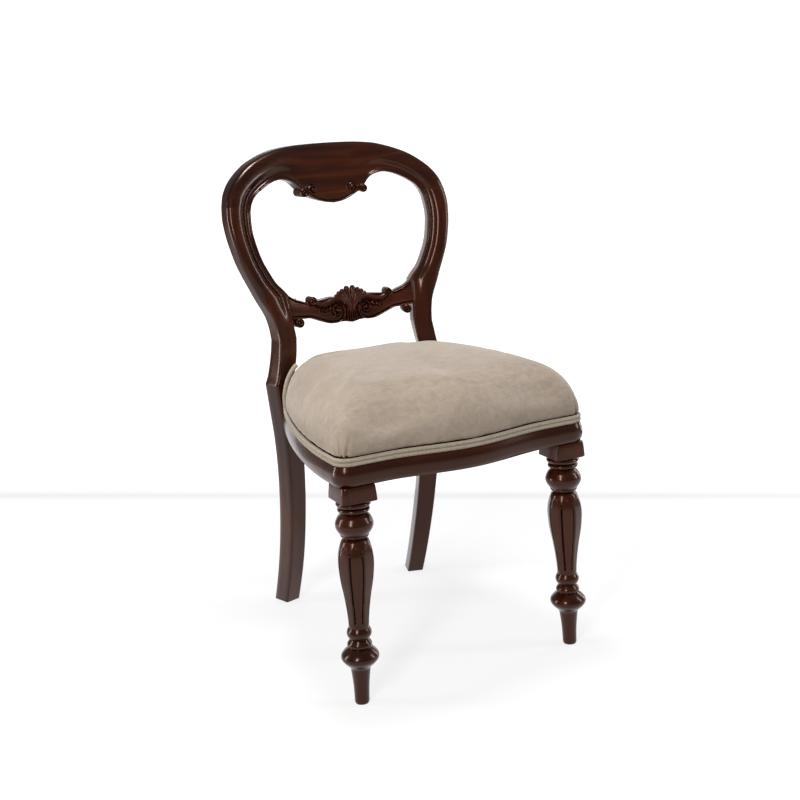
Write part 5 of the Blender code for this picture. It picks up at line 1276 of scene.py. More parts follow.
@dataclass
class SeatRails:
    """Front and side rails with their rounded moulding."""

    seat: SeatForm
    face_points: int = 22

    def ring(self, spot: Array, outward: Array, inner: Array) -> Array:
        """Section of a rail at one place of the rim.

        Args:
            spot: Place in plan on the rim.
            outward: Unit direction out of the rail.
            inner: Place in plan of the rail's inner face.

        Returns:
            The section's points.
        """
        rows = self.seat.face(self.face_points)
        plan = spot + outward * rows[:, :1]
        face = np.concatenate([plan, rows[:, 1:]], 1)
        form = self.seat.form
        top = np.array([[*inner, form.rail_top], [*inner, form.rail_low]])
        ring = np.vstack([face, top])
        ring[:, 1] += form.shift()
        return ring

    def front(self) -> bpy.types.Mesh:
        """Right half of the front rail, with the built-out end over the leg."""
        seat = self.seat
        end = seat.run_to(seat.joint)
        spots, outward = seat.rim(0.0, end, 0.004)
        start = seat.run_to(seat.corner_radius - seat.overhang) - seat.corner_radius * pi / 2
        run = np.linspace(0, end, len(spots))
        turning = np.clip((run - start) / (end - start), 0, 1)
        rings = []
        for spot, out, share in zip(spots, outward, turning):
            inner = np.array([min(spot[0], seat.rail_end_x),
                              seat.rail_inner + (seat.joint - seat.rail_inner) * share])
            rings.append(self.ring(spot, out, inner))
        return shell_mesh("front", np.array(rings), False, True)

    def side(self) -> bpy.types.Mesh:
        """Right side rail, from the front joint to the rear leg."""
        seat, form = self.seat, self.seat.form
        start, end = seat.run_to(seat.joint), seat.run_to(seat.side_end()[1])
        spots, outward = seat.rim(start, end, 0.006)
        rings = [self.ring(spot, out, spot - out * seat.rail_thickness)
                 for spot, out in zip(spots, outward)]
        along = np.array([-outward[-1][1], outward[-1][0]])
        last = rings[-1]
        for _ in range(8):
            want = form.setback(last[:, 0], last[:, 2]) - 0.0002 + form.shift()
            last[:, :2] += along * ((want - last[:, 1]) / along[1])[:, None]
        first = rings[0]
        first[:, 1] = seat.joint + 0.0003 + form.shift()
        return shell_mesh("side", np.array(rings))

    def build(self) -> None:
        """Makes and dresses the rails."""
        finish = PolishedMahogany(Grain.ACROSS).build("mahogany_rail")
        front = tidy_mesh(both_halves("front", self.front()), SEAM_WELD)
        make_piece("moulded_front_rail", front, finish, ["front_seat_rail"])
        along = PolishedMahogany(Grain.DEPTH).build("mahogany_side_rail")
        make_pair("moulded_side_rail", tidy_mesh(self.side()), along, "side_seat_rail")


@dataclass
class Cushion:
    """Stuffed-over seat: a simulated pad under tight velvet."""

    seat: SeatForm
    cord: float = 0.007
    inset: float = 0.00125
    gap: float = 0.0003
    low: float = 0.4113
    floor: float = 0.4323
    band: float = 0.0175
    rear_rail_inset: float = 0.0065
    rear_rail_thickness: float = 0.022
    rise: float = 0.1038
    wall_rise: float = 0.0878
    bulge: float = 0.0018
    spine_drop: float = 0.0121
    spine_front: float = 0.115
    spine_rear: float = 0.302
    wall_share: float = 0.30
    cord_end: float = 0.165
    wall_top: float = 0.520
    leg_shares: tuple = (0.0, 0.5, 1.0)
    leg_sags: tuple = (0.0050, 0.0050, 0.0045)
    cloth: float = 0.0009
    hollow: float = 0.0006
    lap: float = 0.004
    tack_pitch: float = 0.022
    back_sag: float = 0.004
    start_inset: float = 0.0022
    voxel: float = 0.005
    pressure: float = 4.0
    swell_limit: float = 0.0050
    frames: int = 20
    fill: float = 0.85
    shares: tuple = (0.0, 0.01, 0.03, 0.06, 0.10, 0.15, 0.20, 0.25, 0.31, 0.40, 0.52, 0.68, 0.84, 1.0)
    pleats: tuple = (
        (0.30, 0.0032, 0.026, 0.20), (0.52, 0.0026, 0.020, -0.12), (0.72, 0.0016, 0.016, -0.30),
    )
    stuffing: tuple = (
        ("quality", 6), ("mass", 0.25), ("use_pressure", True), ("tension_stiffness", 18),
        ("compression_stiffness", 18), ("shear_stiffness", 8), ("bending_stiffness", 1.2),
    )
    pleat_crease: float = 0.0022
    pleat_lip: tuple[float, float] = (0.0052, 0.0030)
    lip_share: float = 0.45
    smoothing: int = 14
    rest_gap: float = 0.0004
    rest_height: float = 0.004
    held_height: float = 0.0035
    outline_pitch: float = 0.007
    back_places: tuple = (0.9, 0.7, 0.5, 0.3, 0.15, 0.0)
    underside_inset: float = 0.040
    cord_fade: float = 0.14

    def base(self) -> float:
        """Height at which the cushion's side starts, over the piping."""
        return self.low + 2 * self.cord + self.gap

    def rear_front(self) -> float:
        """Setback of the rear rail's front face."""
        form = self.seat.form
        inner = float(form.stile_edges(form.rail_low)[0][0])
        return float(form.setback(inner, form.rail_low)) + self.rear_rail_inset

    def band_ends(self) -> tuple[float, float]:
        """Setbacks between which the piping climbs beside the rear leg."""
        form = self.seat.form
        rear = float(form.setback(self.seat.side_end()[0], form.rail_top)) - 3 * self.gap
        return rear - self.band, rear

    def leg_side(self, setback: float, height: Array) -> Array:
        """The x of the seat's edge beside the rear leg's inner side."""
        form = self.seat.form
        inner = form.stile_edges(height)[0]
        angle = form.angle(inner, height)
        depth = (setback - form.setback(inner, height)) / np.cos(angle)
        return inner + depth * np.sin(angle) - 3 * self.gap

    def outline(self) -> tuple[Array, Array, Array]:
        """Edge of the pad in plan on the right half.

        Returns:
            Places, outward directions, and how much of each column is pressed in for the cords.
        """
        seat = self.seat
        begin, rear = self.band_ends()
        spots, outs = seat.rim(0.0, seat.run_to(begin), self.outline_pitch)
        rows = [(spot, out, 0.0) for spot, out in zip(spots, outs)]
        for setback in (begin + 0.0020, (begin + rear) / 2, rear):
            rows.append((*seat.rim_spot(setback), 1.0))
        slant = np.array([1.0, 1.0]) / np.sqrt(2)
        start = self.rear_front() - self.rear_rail_inset - 3 * self.gap
        back = self.rear_front() + self.rear_rail_thickness + self.gap
        corner = float(self.leg_side(back, np.array([self.wall_top]))[0])
        for share, out in zip(self.leg_shares, (slant, np.array([1.0, 0.0]), slant)):
            setback = start + (back - start) * share
            spot = float(self.leg_side(setback, np.array([self.wall_top]))[0])
            rows.append((np.array([spot, setback]), out, 0.0))
        for share in self.back_places:
            rows.append((np.array([corner * share, back]), np.array([0.0, 1.0]), 0.0))
        plan, outward, pressed = zip(*rows)
        return np.array(plan), np.array(outward), np.array(pressed)

    def dome(self, spots: Array, outs: Array, along: Array, shares: Array) -> tuple[Array, Array]:
        """Dome over the rim, each column rising to its own point of the middle line.

        Args:
            spots: Places of the columns' feet in plan.
            outs: Outward directions there.
            along: Share of the way round from the front to the back.
            shares: Shares of the way from the rim to the middle line.

        Returns:
            Points and outward directions, by share, then by column.
        """
        middle = self.spine_front + (self.spine_rear - self.spine_front) * along
        crown = self.rise - self.spine_drop * (2 * along - 1) ** 2 - self.wall_rise
        turn = np.minimum(shares / self.wall_share, 1)[:, None]
        swell = self.bulge * np.sin(pi * turn) - self.inset
        share = shares[:, None]
        edge = spots[None] + outs[None] * swell[:, :, None]
        x = edge[:, :, 0] * (1 - share)
        y = edge[:, :, 1] + (middle - edge[:, :, 1]) * share
        lift = self.wall_rise * np.sqrt(1 - (1 - turn) ** 2)
        z = self.base() + lift + crown * (1 - (1 - share) ** 2)
        grid = np.stack([x, y, z], 2)
        level = unit(np.stack([-spots[:, 0], middle - spots[:, 1]], 1))
        ahead = unit(np.gradient(grid, axis=0))
        flat = (ahead[:, :, :2] * level).sum(2)
        normal = np.concatenate([-level * ahead[:, :, 2:], flat[:, :, None]], 2)
        return grid, normal

    def body(self) -> bpy.types.Mesh:
        """Closed pad before it swells: flat underside, and a dome on upright sides."""
        spots, outs, pressed = self.outline()
        count = len(spots)
        form = self.seat.form
        along = np.linspace(0, 1, count)
        shares = np.array(self.shares)
        grid, normal = self.dome(spots, outs, along, shares)
        fade = 1 - ease((shares - self.cord_end) / self.cord_fade)[:, None]
        depth = self.start_inset + (self.cord + self.gap) * pressed[None] * fade
        grid = grid - normal * depth[:, :, None]
        grid[:, :, 2] = np.maximum(grid[:, :, 2], self.base())
        behind = self.seat.rebate - self.gap
        inner = np.maximum(behind, self.inset + self.start_inset + pressed * self.cord)[:, None]
        foot = np.column_stack([spots - outs * inner, np.full(count, self.base() - 0.004)])
        ledge = np.column_stack([spots - outs * (inner + 0.002), np.full(count, form.rail_top + 0.001)])
        low = np.column_stack([spots - outs * self.underside_inset, np.full(count, self.floor)])
        centre = np.column_stack([np.zeros(count), grid[-1, :, 1], np.full(count, self.floor)])
        first = int(np.nonzero(pressed)[0][-1]) + 1
        sag = np.zeros(count)
        sag[first:] = self.back_sag
        sag[first:first + len(self.leg_sags)] = self.leg_sags
        grid[:, :, 2] -= sag * (ease(shares / 0.12) * (1 - shares) ** 2)[:, None]
        whole = np.concatenate([np.array([centre, low, ledge, foot]), grid])
        fades = np.concatenate([[0.0, 0.0, 1.0, 1.0], 1 - shares])
        for column in range(first, first + len(self.leg_shares)):
            side = self.leg_side(float(spots[column][1]), np.maximum(whole[:, column, 2], form.rail_top))
            whole[:, column, 0] += np.maximum(side - spots[column][0], 0) * fades
        whole[:, :, 1] += form.shift()
        half = shell_mesh("pad", whole, False, False, closed=False)
        return tidy_mesh(both_halves("pad", half), 1e-4)

    def keep(self, piece: bpy.types.Object) -> None:
        """Turns a piece's modifiers into its mesh."""
        depsgraph = bpy.context.evaluated_depsgraph_get()
        mesh = bpy.data.meshes.new_from_object(piece.evaluated_get(depsgraph))
        piece.modifiers.clear()
        piece.data = mesh

    def even_out(self, pad: bpy.types.Object) -> None:
        """Remeshes the pad into even small faces."""
        remesh = pad.modifiers.new("even", "REMESH")
        remesh.mode = "VOXEL"
        remesh.voxel_size = self.voxel
        self.keep(pad)

    def swell(self, pad: bpy.types.Object) -> None:
        """Lets the pad swell, up to its limit, and keeps the result."""
        start = read_places(pad.data)
        held = pad.vertex_groups.new(name="held")
        fixed = np.nonzero(start[:, 2] < self.base() + self.held_height)[0]
        held.add(fixed.tolist(), 1.0, "REPLACE")
        cloth = pad.modifiers.new("stuffing", "CLOTH")
        settings = cloth.settings
        for key, value in self.stuffing:
            setattr(settings, key, value)
        settings.uniform_pressure_force = self.pressure
        settings.effector_weights.gravity = 0.0
        settings.vertex_group_mass = "held"
        cloth.collision_settings.use_collision = False
        cloth.point_cache.frame_start = 1
        cloth.point_cache.frame_end = self.frames
        scene = bpy.context.scene
        for number in range(1, self.frames + 1):
            scene.frame_set(number)
        depsgraph = bpy.context.evaluated_depsgraph_get()
        swollen = bpy.data.meshes.new_from_object(pad.evaluated_get(depsgraph))
        move = read_places(swollen) - start
        size = np.linalg.norm(move, axis=1)
        LOG.info("the pad swells by up to %.1f mm", size.max() * 1000)
        rear = ease((start[:, 1] - self.seat.form.shift() - self.band_ends()[0] + 0.03) / 0.03)
        limit = self.swell_limit * (1 - 0.75 * rear)
        scale = np.minimum(1, limit / np.maximum(size, 1e-9))
        pad.modifiers.clear()
        pad.vertex_groups.clear()
        write_places(pad.data, start + move * scale[:, None])
        scene.frame_set(1)

    def finish_shape(self, pad: bpy.types.Object) -> None:
        """Smooths the pad, subdivides it once and presses in its pleats."""
        smooth = pad.modifiers.new("smooth", "CORRECTIVE_SMOOTH")
        smooth.use_only_smooth = True
        smooth.iterations = self.smoothing
        smooth.factor = 0.6
        finer = pad.modifiers.new("finer", "SUBSURF")
        finer.levels = finer.render_levels = 1
        self.keep(pad)
        mesh = pad.data
        place = read_places(mesh)
        normal = np.zeros(len(mesh.vertices) * 3)
        mesh.vertices.foreach_get("normal", normal)
        push = self.pleat_depth(place) + self.ripple(place)
        place += normal.reshape(-1, 3) * push[:, None]
        write_places(mesh, self.settled(place))

    def pleat_depth(self, place: Array) -> Array:
        """How far each point moves out for the pleats at the front corners."""
        seat, shift = self.seat, self.seat.form.shift()
        radius = seat.corner_radius
        push = np.zeros(len(place))
        for side in (-1, 1):
            for corner, depth, length, slant in self.pleats:
                turn = pi / 2 * corner
                out = np.array([side * sin(turn), -cos(turn)])
                along = np.array([side * cos(turn), sin(turn)])
                centre = np.array([side * (seat.half_width - radius), radius - seat.overhang + shift])
                offset = place[:, :2] - centre - out * radius
                rise = place[:, 2] - self.base()
                drift = offset @ along + slant * rise
                crease = np.exp(-((drift / self.pleat_crease) ** 2))
                lips = np.exp(-(((np.abs(drift) - self.pleat_lip[0]) / self.pleat_lip[1]) ** 2))
                tall = np.exp(-((np.maximum(rise - 0.004, 0) / length) ** 2))
                near = np.exp(-((np.linalg.norm(offset, axis=1) / (length + 0.010)) ** 4))
                push += depth * (self.lip_share * lips - crease) * tall * near
        return push

    def ripple(self, place: Array) -> Array:
        """Faint unevenness of stuffed cloth."""
        rng = np.random.default_rng(7)
        push = np.zeros(len(place))
        for _ in range(26):
            turn, phase = rng.uniform(0, 2 * pi, 2)
            wave = rng.uniform(18, 42)
            size = rng.uniform(0.00006, 0.00018)
            push += size * np.sin(wave * (place[:, 0] * cos(turn) + place[:, 1] * sin(turn)) + phase)
        return push

    def settled(self, place: Array) -> Array:
        """Points kept off the rails, the hessian and the piping."""
        form = self.seat.form
        rim = self.seat.rim_line() + np.array([0.0, form.shift()])
        beside = np.abs(place[:, 0])
        low = place[:, 2] < self.floor + self.rest_height
        index = np.nonzero(low)[0]
        gap = np.full(len(place), 1.0)
        for chunk in np.array_split(index, max(len(index) // 4000, 1)):
            spots = np.column_stack([beside[chunk], place[chunk, 1]])
            gap[chunk] = np.sqrt(((spots[:, None, :] - rim[None, ::2, :]) ** 2).sum(-1)).min(1)
        outer = self.seat.rebate
        inner = outer + self.seat.rail_thickness
        rest = np.full(len(place), -1.0)
        rest[low & (gap < outer)] = self.base() - self.rest_gap
        rest[low & (gap >= outer) & (gap < inner)] = form.rail_top + self.rest_gap
        rest[low & (gap >= inner)] = self.floor
        place[:, 2] = np.maximum(place[:, 2], rest)
        return place

    def clear_cords(self, piece: bpy.types.Object, lines: Sequence[Array]) -> None:
        """Presses the pad in where a cord lies on it.

        Args:
            piece: The cushion.
            lines: Middle lines of the cords.
        """
        place = read_places(piece.data)
        room = self.cord / 2 + self.gap
        for line in lines:
            tree = KDTree(len(line))
            for index, spot in enumerate(line):
                tree.insert(spot, index)
            tree.balance()
            for index in range(len(place)):
                nearest, _, distance = tree.find(place[index])
                if distance < room:
                    away = Vector(place[index]) - nearest
                    place[index] = nearest + away * (room / max(distance, 1e-6))
        write_places(piece.data, place)

    def rear_cloth(self) -> bpy.types.Object:
        """Velvet drawn down over the rear rail and tacked along its lower edge."""
        form = self.seat.form
        back = self.rear_front() + self.rear_rail_thickness
        near = back + form.shift() + 0.0002
        half = float(self.leg_side(back, np.array([form.rail_low]))[0]) - self.gap
        x = np.linspace(-half, half, 120)
        top, low = self.base() + self.lap, form.rail_low + self.gap
        z = np.linspace(top, low, 14)
        down = (top - z) / (top - low)
        pull = self.hollow * np.outer(np.sin(x * pi / self.tack_pitch) ** 2, down ** 2)
        far = near + self.cloth + self.hollow - pull
        outer = np.stack([np.broadcast_to(x[:, None], far.shape), far, np.broadcast_to(z, far.shape)], 2)
        inner = outer[:, ::-1].copy()
        inner[:, :, 1] -= self.cloth
        mesh = tidy_mesh(shell_mesh("rear_cloth", np.concatenate([outer, inner], 1)))
        finish = bpy.data.materials["beige_velvet"]
        piece = make_piece("rear_cloth", mesh, finish)
        return piece

    def build(self) -> bpy.types.Object:
        """Makes and dresses the cushion."""
        pad = add_object("pad", self.body())
        self.even_out(pad)
        self.swell(pad)
        self.finish_shape(pad)
        mesh = pad.data
        bpy.data.objects.remove(pad)
        piece = make_piece("seat_cushion", mesh, PressedVelvet().build("beige_velvet"),
                           ["seat_cover", "seat_stuffing"], 0)
        mesh.shade_smooth()
        self.rear_cloth()
        return piece


# Geometry Nodes


class NodeSheet(NodeLayout):
    """One Geometry Nodes tree."""

    def __init__(self, name: str, sizes: Sequence[str]) -> None:
        """Starts a tree with a Geometry input and output, and an input for each size.

        Args:
            name: Name of the tree.
            sizes: Names of its sizes.
        """
        super().__init__(bpy.data.node_groups.new(name, "GeometryNodeTree"))
        self.tree.interface.new_socket("Geometry", in_out="INPUT", socket_type="NodeSocketGeometry")
        self.tree.interface.new_socket("Geometry", in_out="OUTPUT", socket_type="NodeSocketGeometry")
        self.entry = self.tree.nodes.new("NodeGroupInput")
        self.exit = self.tree.nodes.new("NodeGroupOutput")
        for size in sizes:
            self.tree.interface.new_socket(size, in_out="INPUT", socket_type="NodeSocketFloat")

    def take(self, name: str, node: bpy.types.Node, target: str) -> None:
        """Joins one of the tree's own inputs to a node's input."""
        self.link(self.entry.outputs[name], node.inputs[target])

    def close(self, source: bpy.types.NodeSocket, finish: bpy.types.Material) -> None:
        """Ends the tree in Realize Instances and Set Material."""
        real = self.add("GeometryNodeRealizeInstances")
        dress = self.add("GeometryNodeSetMaterial", {"Material": finish})
        self.link(source, real.inputs["Geometry"])
        self.link(real.outputs["Geometry"], dress.inputs["Geometry"])
        self.link(dress.outputs["Geometry"], self.exit.inputs["Geometry"])

    def run(self, base: bpy.types.Object, values: dict[str, float]) -> bpy.types.Mesh:
        """Runs the tree on an object.

        Args:
            base: The object it reads.
            values: Values of its named inputs.

        Returns:
            The result as a plain mesh.
        """
        modifier = base.modifiers.new("tree", "NODES")
        modifier.node_group = self.tree
        for item in self.tree.interface.items_tree:
            if item.item_type == "SOCKET" and item.in_out == "INPUT" and item.name in values:
                modifier[item.identifier] = values[item.name]
        depsgraph = bpy.context.evaluated_depsgraph_get()
        mesh = bpy.data.meshes.new_from_object(base.evaluated_get(depsgraph))
        base.modifiers.clear()
        bpy.data.objects.remove(base)
        return mesh


def path_object(name: str, lines: Sequence[Array]) -> bpy.types.Object:
    """Curve object of plain lines for a Geometry Nodes tree to read."""
    curve = bpy.data.curves.new(name, "CURVE")
    curve.dimensions = "3D"
    for points in lines:
        line = curve.splines.new("POLY")
        line.points.add(len(points) - 1)
        for point, place in zip(line.points, points):
            point.co = (*place, 1)
    return add_object(name, curve)


@dataclass
class DoublePiping:
    """Two covered cords side by side round the seat, turned up at the rear legs."""

    seat: SeatForm
    cushion: Cushion
    inset: float = 0.0025
    spread: float = 0.97
    pitch: float = 0.003
    spacing: float = 0.002
    sides: int = 14
    colour: Colour = (0.60, 0.52, 0.41)
    shade: Colour = (0.42, 0.35, 0.26)
    turns: tuple = ((0.45, 0.0004), (0.8, 0.0020))

    def frames(self) -> list[tuple[Array, Array]]:
        """Right half of the run.

        Returns:
            The middle between the cords, and the direction from cord to cord, one pair a place.
        """
        seat, cushion = self.seat, self.cushion
        radius = cushion.cord / 2
        up = np.array([0.0, 0.0, 1.0])
        begin, rear = cushion.band_ends()
        spots, outs = seat.rim(0.0, seat.run_to(begin), self.pitch)
        middle = cushion.low + cushion.gap + cushion.cord
        feet = spots - outs * (self.inset + radius)
        rows = [(np.array([*foot, middle]), up) for foot in feet]
        spot, out = seat.rim_spot((begin + rear) / 2)
        foot = spot - out * (self.inset + radius)
        forward = np.array([out[1], -out[0], 0.0])
        for share, rise in self.turns:
            rows.append((np.array([*foot, middle + rise]), unit(up * (1 - share) + forward * share)))
        outline = cushion.outline()
        column = int(np.nonzero(outline[2])[0][1])
        along = np.array([column / (len(outline[0]) - 1)])
        shares = np.linspace(0.008, cushion.cord_end, 14)
        grid, normal = cushion.dome(spot[None], out[None], along, shares)
        rows.append((np.array([*foot, (middle + float(grid[0, 0, 2])) / 2]), forward))
        for point, square in zip(grid[:, 0], normal[:, 0]):
            rows.append((point - square * (radius + cushion.gap), forward))
        return rows

    def runs(self) -> list[Array]:
        """Middle lines of the two cords, whole way round."""
        frames = self.frames()
        reach = self.cushion.cord / 2 * self.spread
        lines = []
        for sense in (-1, 1):
            half = smooth_path([centre + lean * sense * reach for centre, lean in frames], 3)
            half[:, 1] += self.seat.form.shift()
            left = half[::-1].copy()
            left[:, 0] *= -1
            lines.append(np.vstack([left[:-1], half]))
        return lines

    def build(self) -> None:
        """Makes and dresses the piping with Geometry Nodes."""
        finish = WovenCloth(self.colour, self.shade, 1500.0, 0.0002).build("piping_cloth")
        sheet = NodeSheet("covered_cord", ("Cord radius", "Point spacing"))
        even = sheet.add("GeometryNodeResampleCurve", mode="LENGTH")
        ring = sheet.add("GeometryNodeCurvePrimitiveCircle", {"Resolution": self.sides})
        sweep = sheet.add("GeometryNodeCurveToMesh", {"Fill Caps": True})
        shade = sheet.add("GeometryNodeSetShadeSmooth")
        sheet.take("Geometry", even, "Curve")
        sheet.take("Point spacing", even, "Length")
        sheet.take("Cord radius", ring, "Radius")
        sheet.link(even.outputs["Curve"], sweep.inputs["Curve"])
        sheet.link(ring.outputs["Curve"], sweep.inputs["Profile Curve"])
        sheet.link(sweep.outputs["Mesh"], shade.inputs["Geometry"])
        sheet.close(shade.outputs["Geometry"], finish)
        mesh = sheet.run(path_object("piping_path", self.runs()),
                         {"Cord radius": self.cushion.cord / 2, "Point spacing": self.spacing})
        make_piece("double_piping_cords", tidy_mesh(mesh, 1e-5), finish, ["double_piping"],
                   0.9)


@dataclass
class UnderSeat:
    """Webbing, hessian and dust cover under the seat, with the cover's tacks."""

    seat: SeatForm
    strap_rows: int = 150
    strap_thickness: float = 0.0012
    tack_pitch: float = 0.028
    tack_radius: float = 0.0028
    tack_flatness: float = 0.35
    tack_inset: float = 0.0165
    tack_drop: float = 0.0011

    def strap(self, node: str) -> tuple[bpy.types.Mesh, tuple[float, float]]:
        """Fine copy of one strap that follows its rise and fall.

        Args:
            node: Node of the plain strap.

        Returns:
            The mesh, and the strap's flat width and length.
        """
        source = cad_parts[node].data
        shape = bmesh.new()
        shape.from_mesh(source)
        bmesh.ops.remove_doubles(shape, verts=shape.verts, dist=1e-5)
        places = np.array([vertex.co for vertex in shape.verts])
        shape.free()
        long_axis = 0 if "cross" in node else 1
        wide_axis = 1 - long_axis
        low, high = places.min(0), places.max(0)
        sides = []
        for edge in (low[wide_axis], high[wide_axis]):
            run = places[np.abs(places[:, wide_axis] - edge) < 0.004][:, long_axis]
            sides.append((edge, run.min(), run.max()))
        keys = np.unique(np.round(places[:, long_axis], 4))
        levels = []
        for key in keys:
            near = places[np.abs(places[:, long_axis] - key) < 2e-4]
            levels.append((near[:, 2].min() + near[:, 2].max()) / 2)
        half = self.strap_thickness / 2
        rings = []
        for share in np.linspace(0, 1, self.strap_rows):
            ring = []
            for side, lift in ((0, -half), (1, -half), (1, half), (0, half)):
                edge, first, last = sides[side]
                along = first + (last - first) * share
                point = [0.0, 0.0, np.interp(along, keys, levels) + lift]
                point[long_axis], point[wide_axis] = along, edge
                ring.append(point)
            rings.append(ring)
        size = high - low
        flat = (float(size[wide_axis]), float(size[long_axis]))
        return tidy_mesh(shell_mesh(node, np.array(rings))), flat

    def tacks(self) -> bpy.types.Mesh:
        """Tacks round the dust cover's edge, set out by Geometry Nodes."""
        seat = self.seat
        finish = DrawnSteel((0.30, 0.29, 0.28)).build("blued_tacks")
        spots, outward = seat.rim(0.0, seat.run_to(seat.side_end()[1] - 0.020), 0.004)
        plan = spots - outward * self.tack_inset
        keep = ~((np.abs(plan[:, 0]) > 0.166) & (plan[:, 1] < 0.036))
        rows = np.column_stack([plan, np.full(len(plan), seat.form.rail_low - self.tack_drop)])
        rows[:, 1] += seat.form.shift()
        pieces = []
        front = rows[keep & (rows[:, 1] < seat.form.shift())]
        side = rows[keep & (rows[:, 1] > seat.form.shift())]
        for run in (front, side):
            pieces += [run, run * np.array([-1, 1, 1])]
        sheet = NodeSheet("tack_row", ("Tack spacing", "Tack radius"))
        points = sheet.add("GeometryNodeCurveToPoints", mode="LENGTH")
        head = sheet.add("GeometryNodeMeshUVSphere", {"Segments": 10, "Rings": 6})
        flatten = sheet.add("GeometryNodeTransform", {"Scale": (1.0, 1.0, self.tack_flatness)})
        place = sheet.add("GeometryNodeInstanceOnPoints")
        sheet.take("Geometry", points, "Curve")
        sheet.take("Tack spacing", points, "Length")
        sheet.take("Tack radius", head, "Radius")
        sheet.link(head.outputs["Mesh"], flatten.inputs["Geometry"])
        sheet.link(points.outputs["Points"], place.inputs["Points"])
        sheet.link(flatten.outputs["Geometry"], place.inputs["Instance"])
        sheet.close(place.outputs["Instances"], finish)
        return sheet.run(path_object("tack_path", pieces),
                         {"Tack spacing": self.tack_pitch, "Tack radius": self.tack_radius})

    def build(self) -> None:
        """Makes and dresses what is under the seat."""
        jute = WovenCloth((0.40, 0.30, 0.18), (0.20, 0.14, 0.07), 420.0, 0.0006, 0.9).build("jute_webbing")
        for node in sorted(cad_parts):
            if "strap" not in node:
                continue
            mesh, flat = self.strap(node)
            piece = make_piece(node.replace("seat_strap", "woven_strap"), mesh, jute, [node])
        sacking = WovenCloth((0.44, 0.34, 0.21), (0.22, 0.16, 0.09), 600.0, 0.0005, 0.95)
        lining = WovenCloth((0.018, 0.018, 0.019), (0.006, 0.006, 0.006), 1200.0, 0.0003, 0.95)
        for node, name, finish, slot in (
            ("seat_hessian", "hessian_sheet", sacking.build("hessian_cloth"), "hessian"),
            ("dust_cover", "lining_sheet", lining.build("black_lining"), "dust_cloth"),
        ):
            mesh = tidy_mesh(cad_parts[node].data.copy(), 1e-5)
            piece = make_piece(name, mesh, finish, [node])
        tacks = make_piece("lining_tacks", self.tacks(), bpy.data.materials["blued_tacks"])
        tacks.data.shade_smooth()


@dataclass
class HiddenTimber:
    """Finishes of the solids that keep their own shape."""

    def build(self) -> None:
        """Dresses the rear rail, corner blocks, dowels and screws."""
        across = PolishedMahogany(Grain.ACROSS).build("mahogany_rear_rail")
        beech = PlainBeech().build("plain_beech")
        steel = DrawnSteel().build("drawn_steel")
        for name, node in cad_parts.items():
            if name == "rear_seat_rail":
                finish = across
            elif "screw" in name:
                finish = steel
            elif "dowel" in name or "corner_block" in name:
                finish = beech
            else:
                continue
            node.data.materials.clear()
            node.data.materials.append(finish)
        LOG.info("dressed the hidden timber")


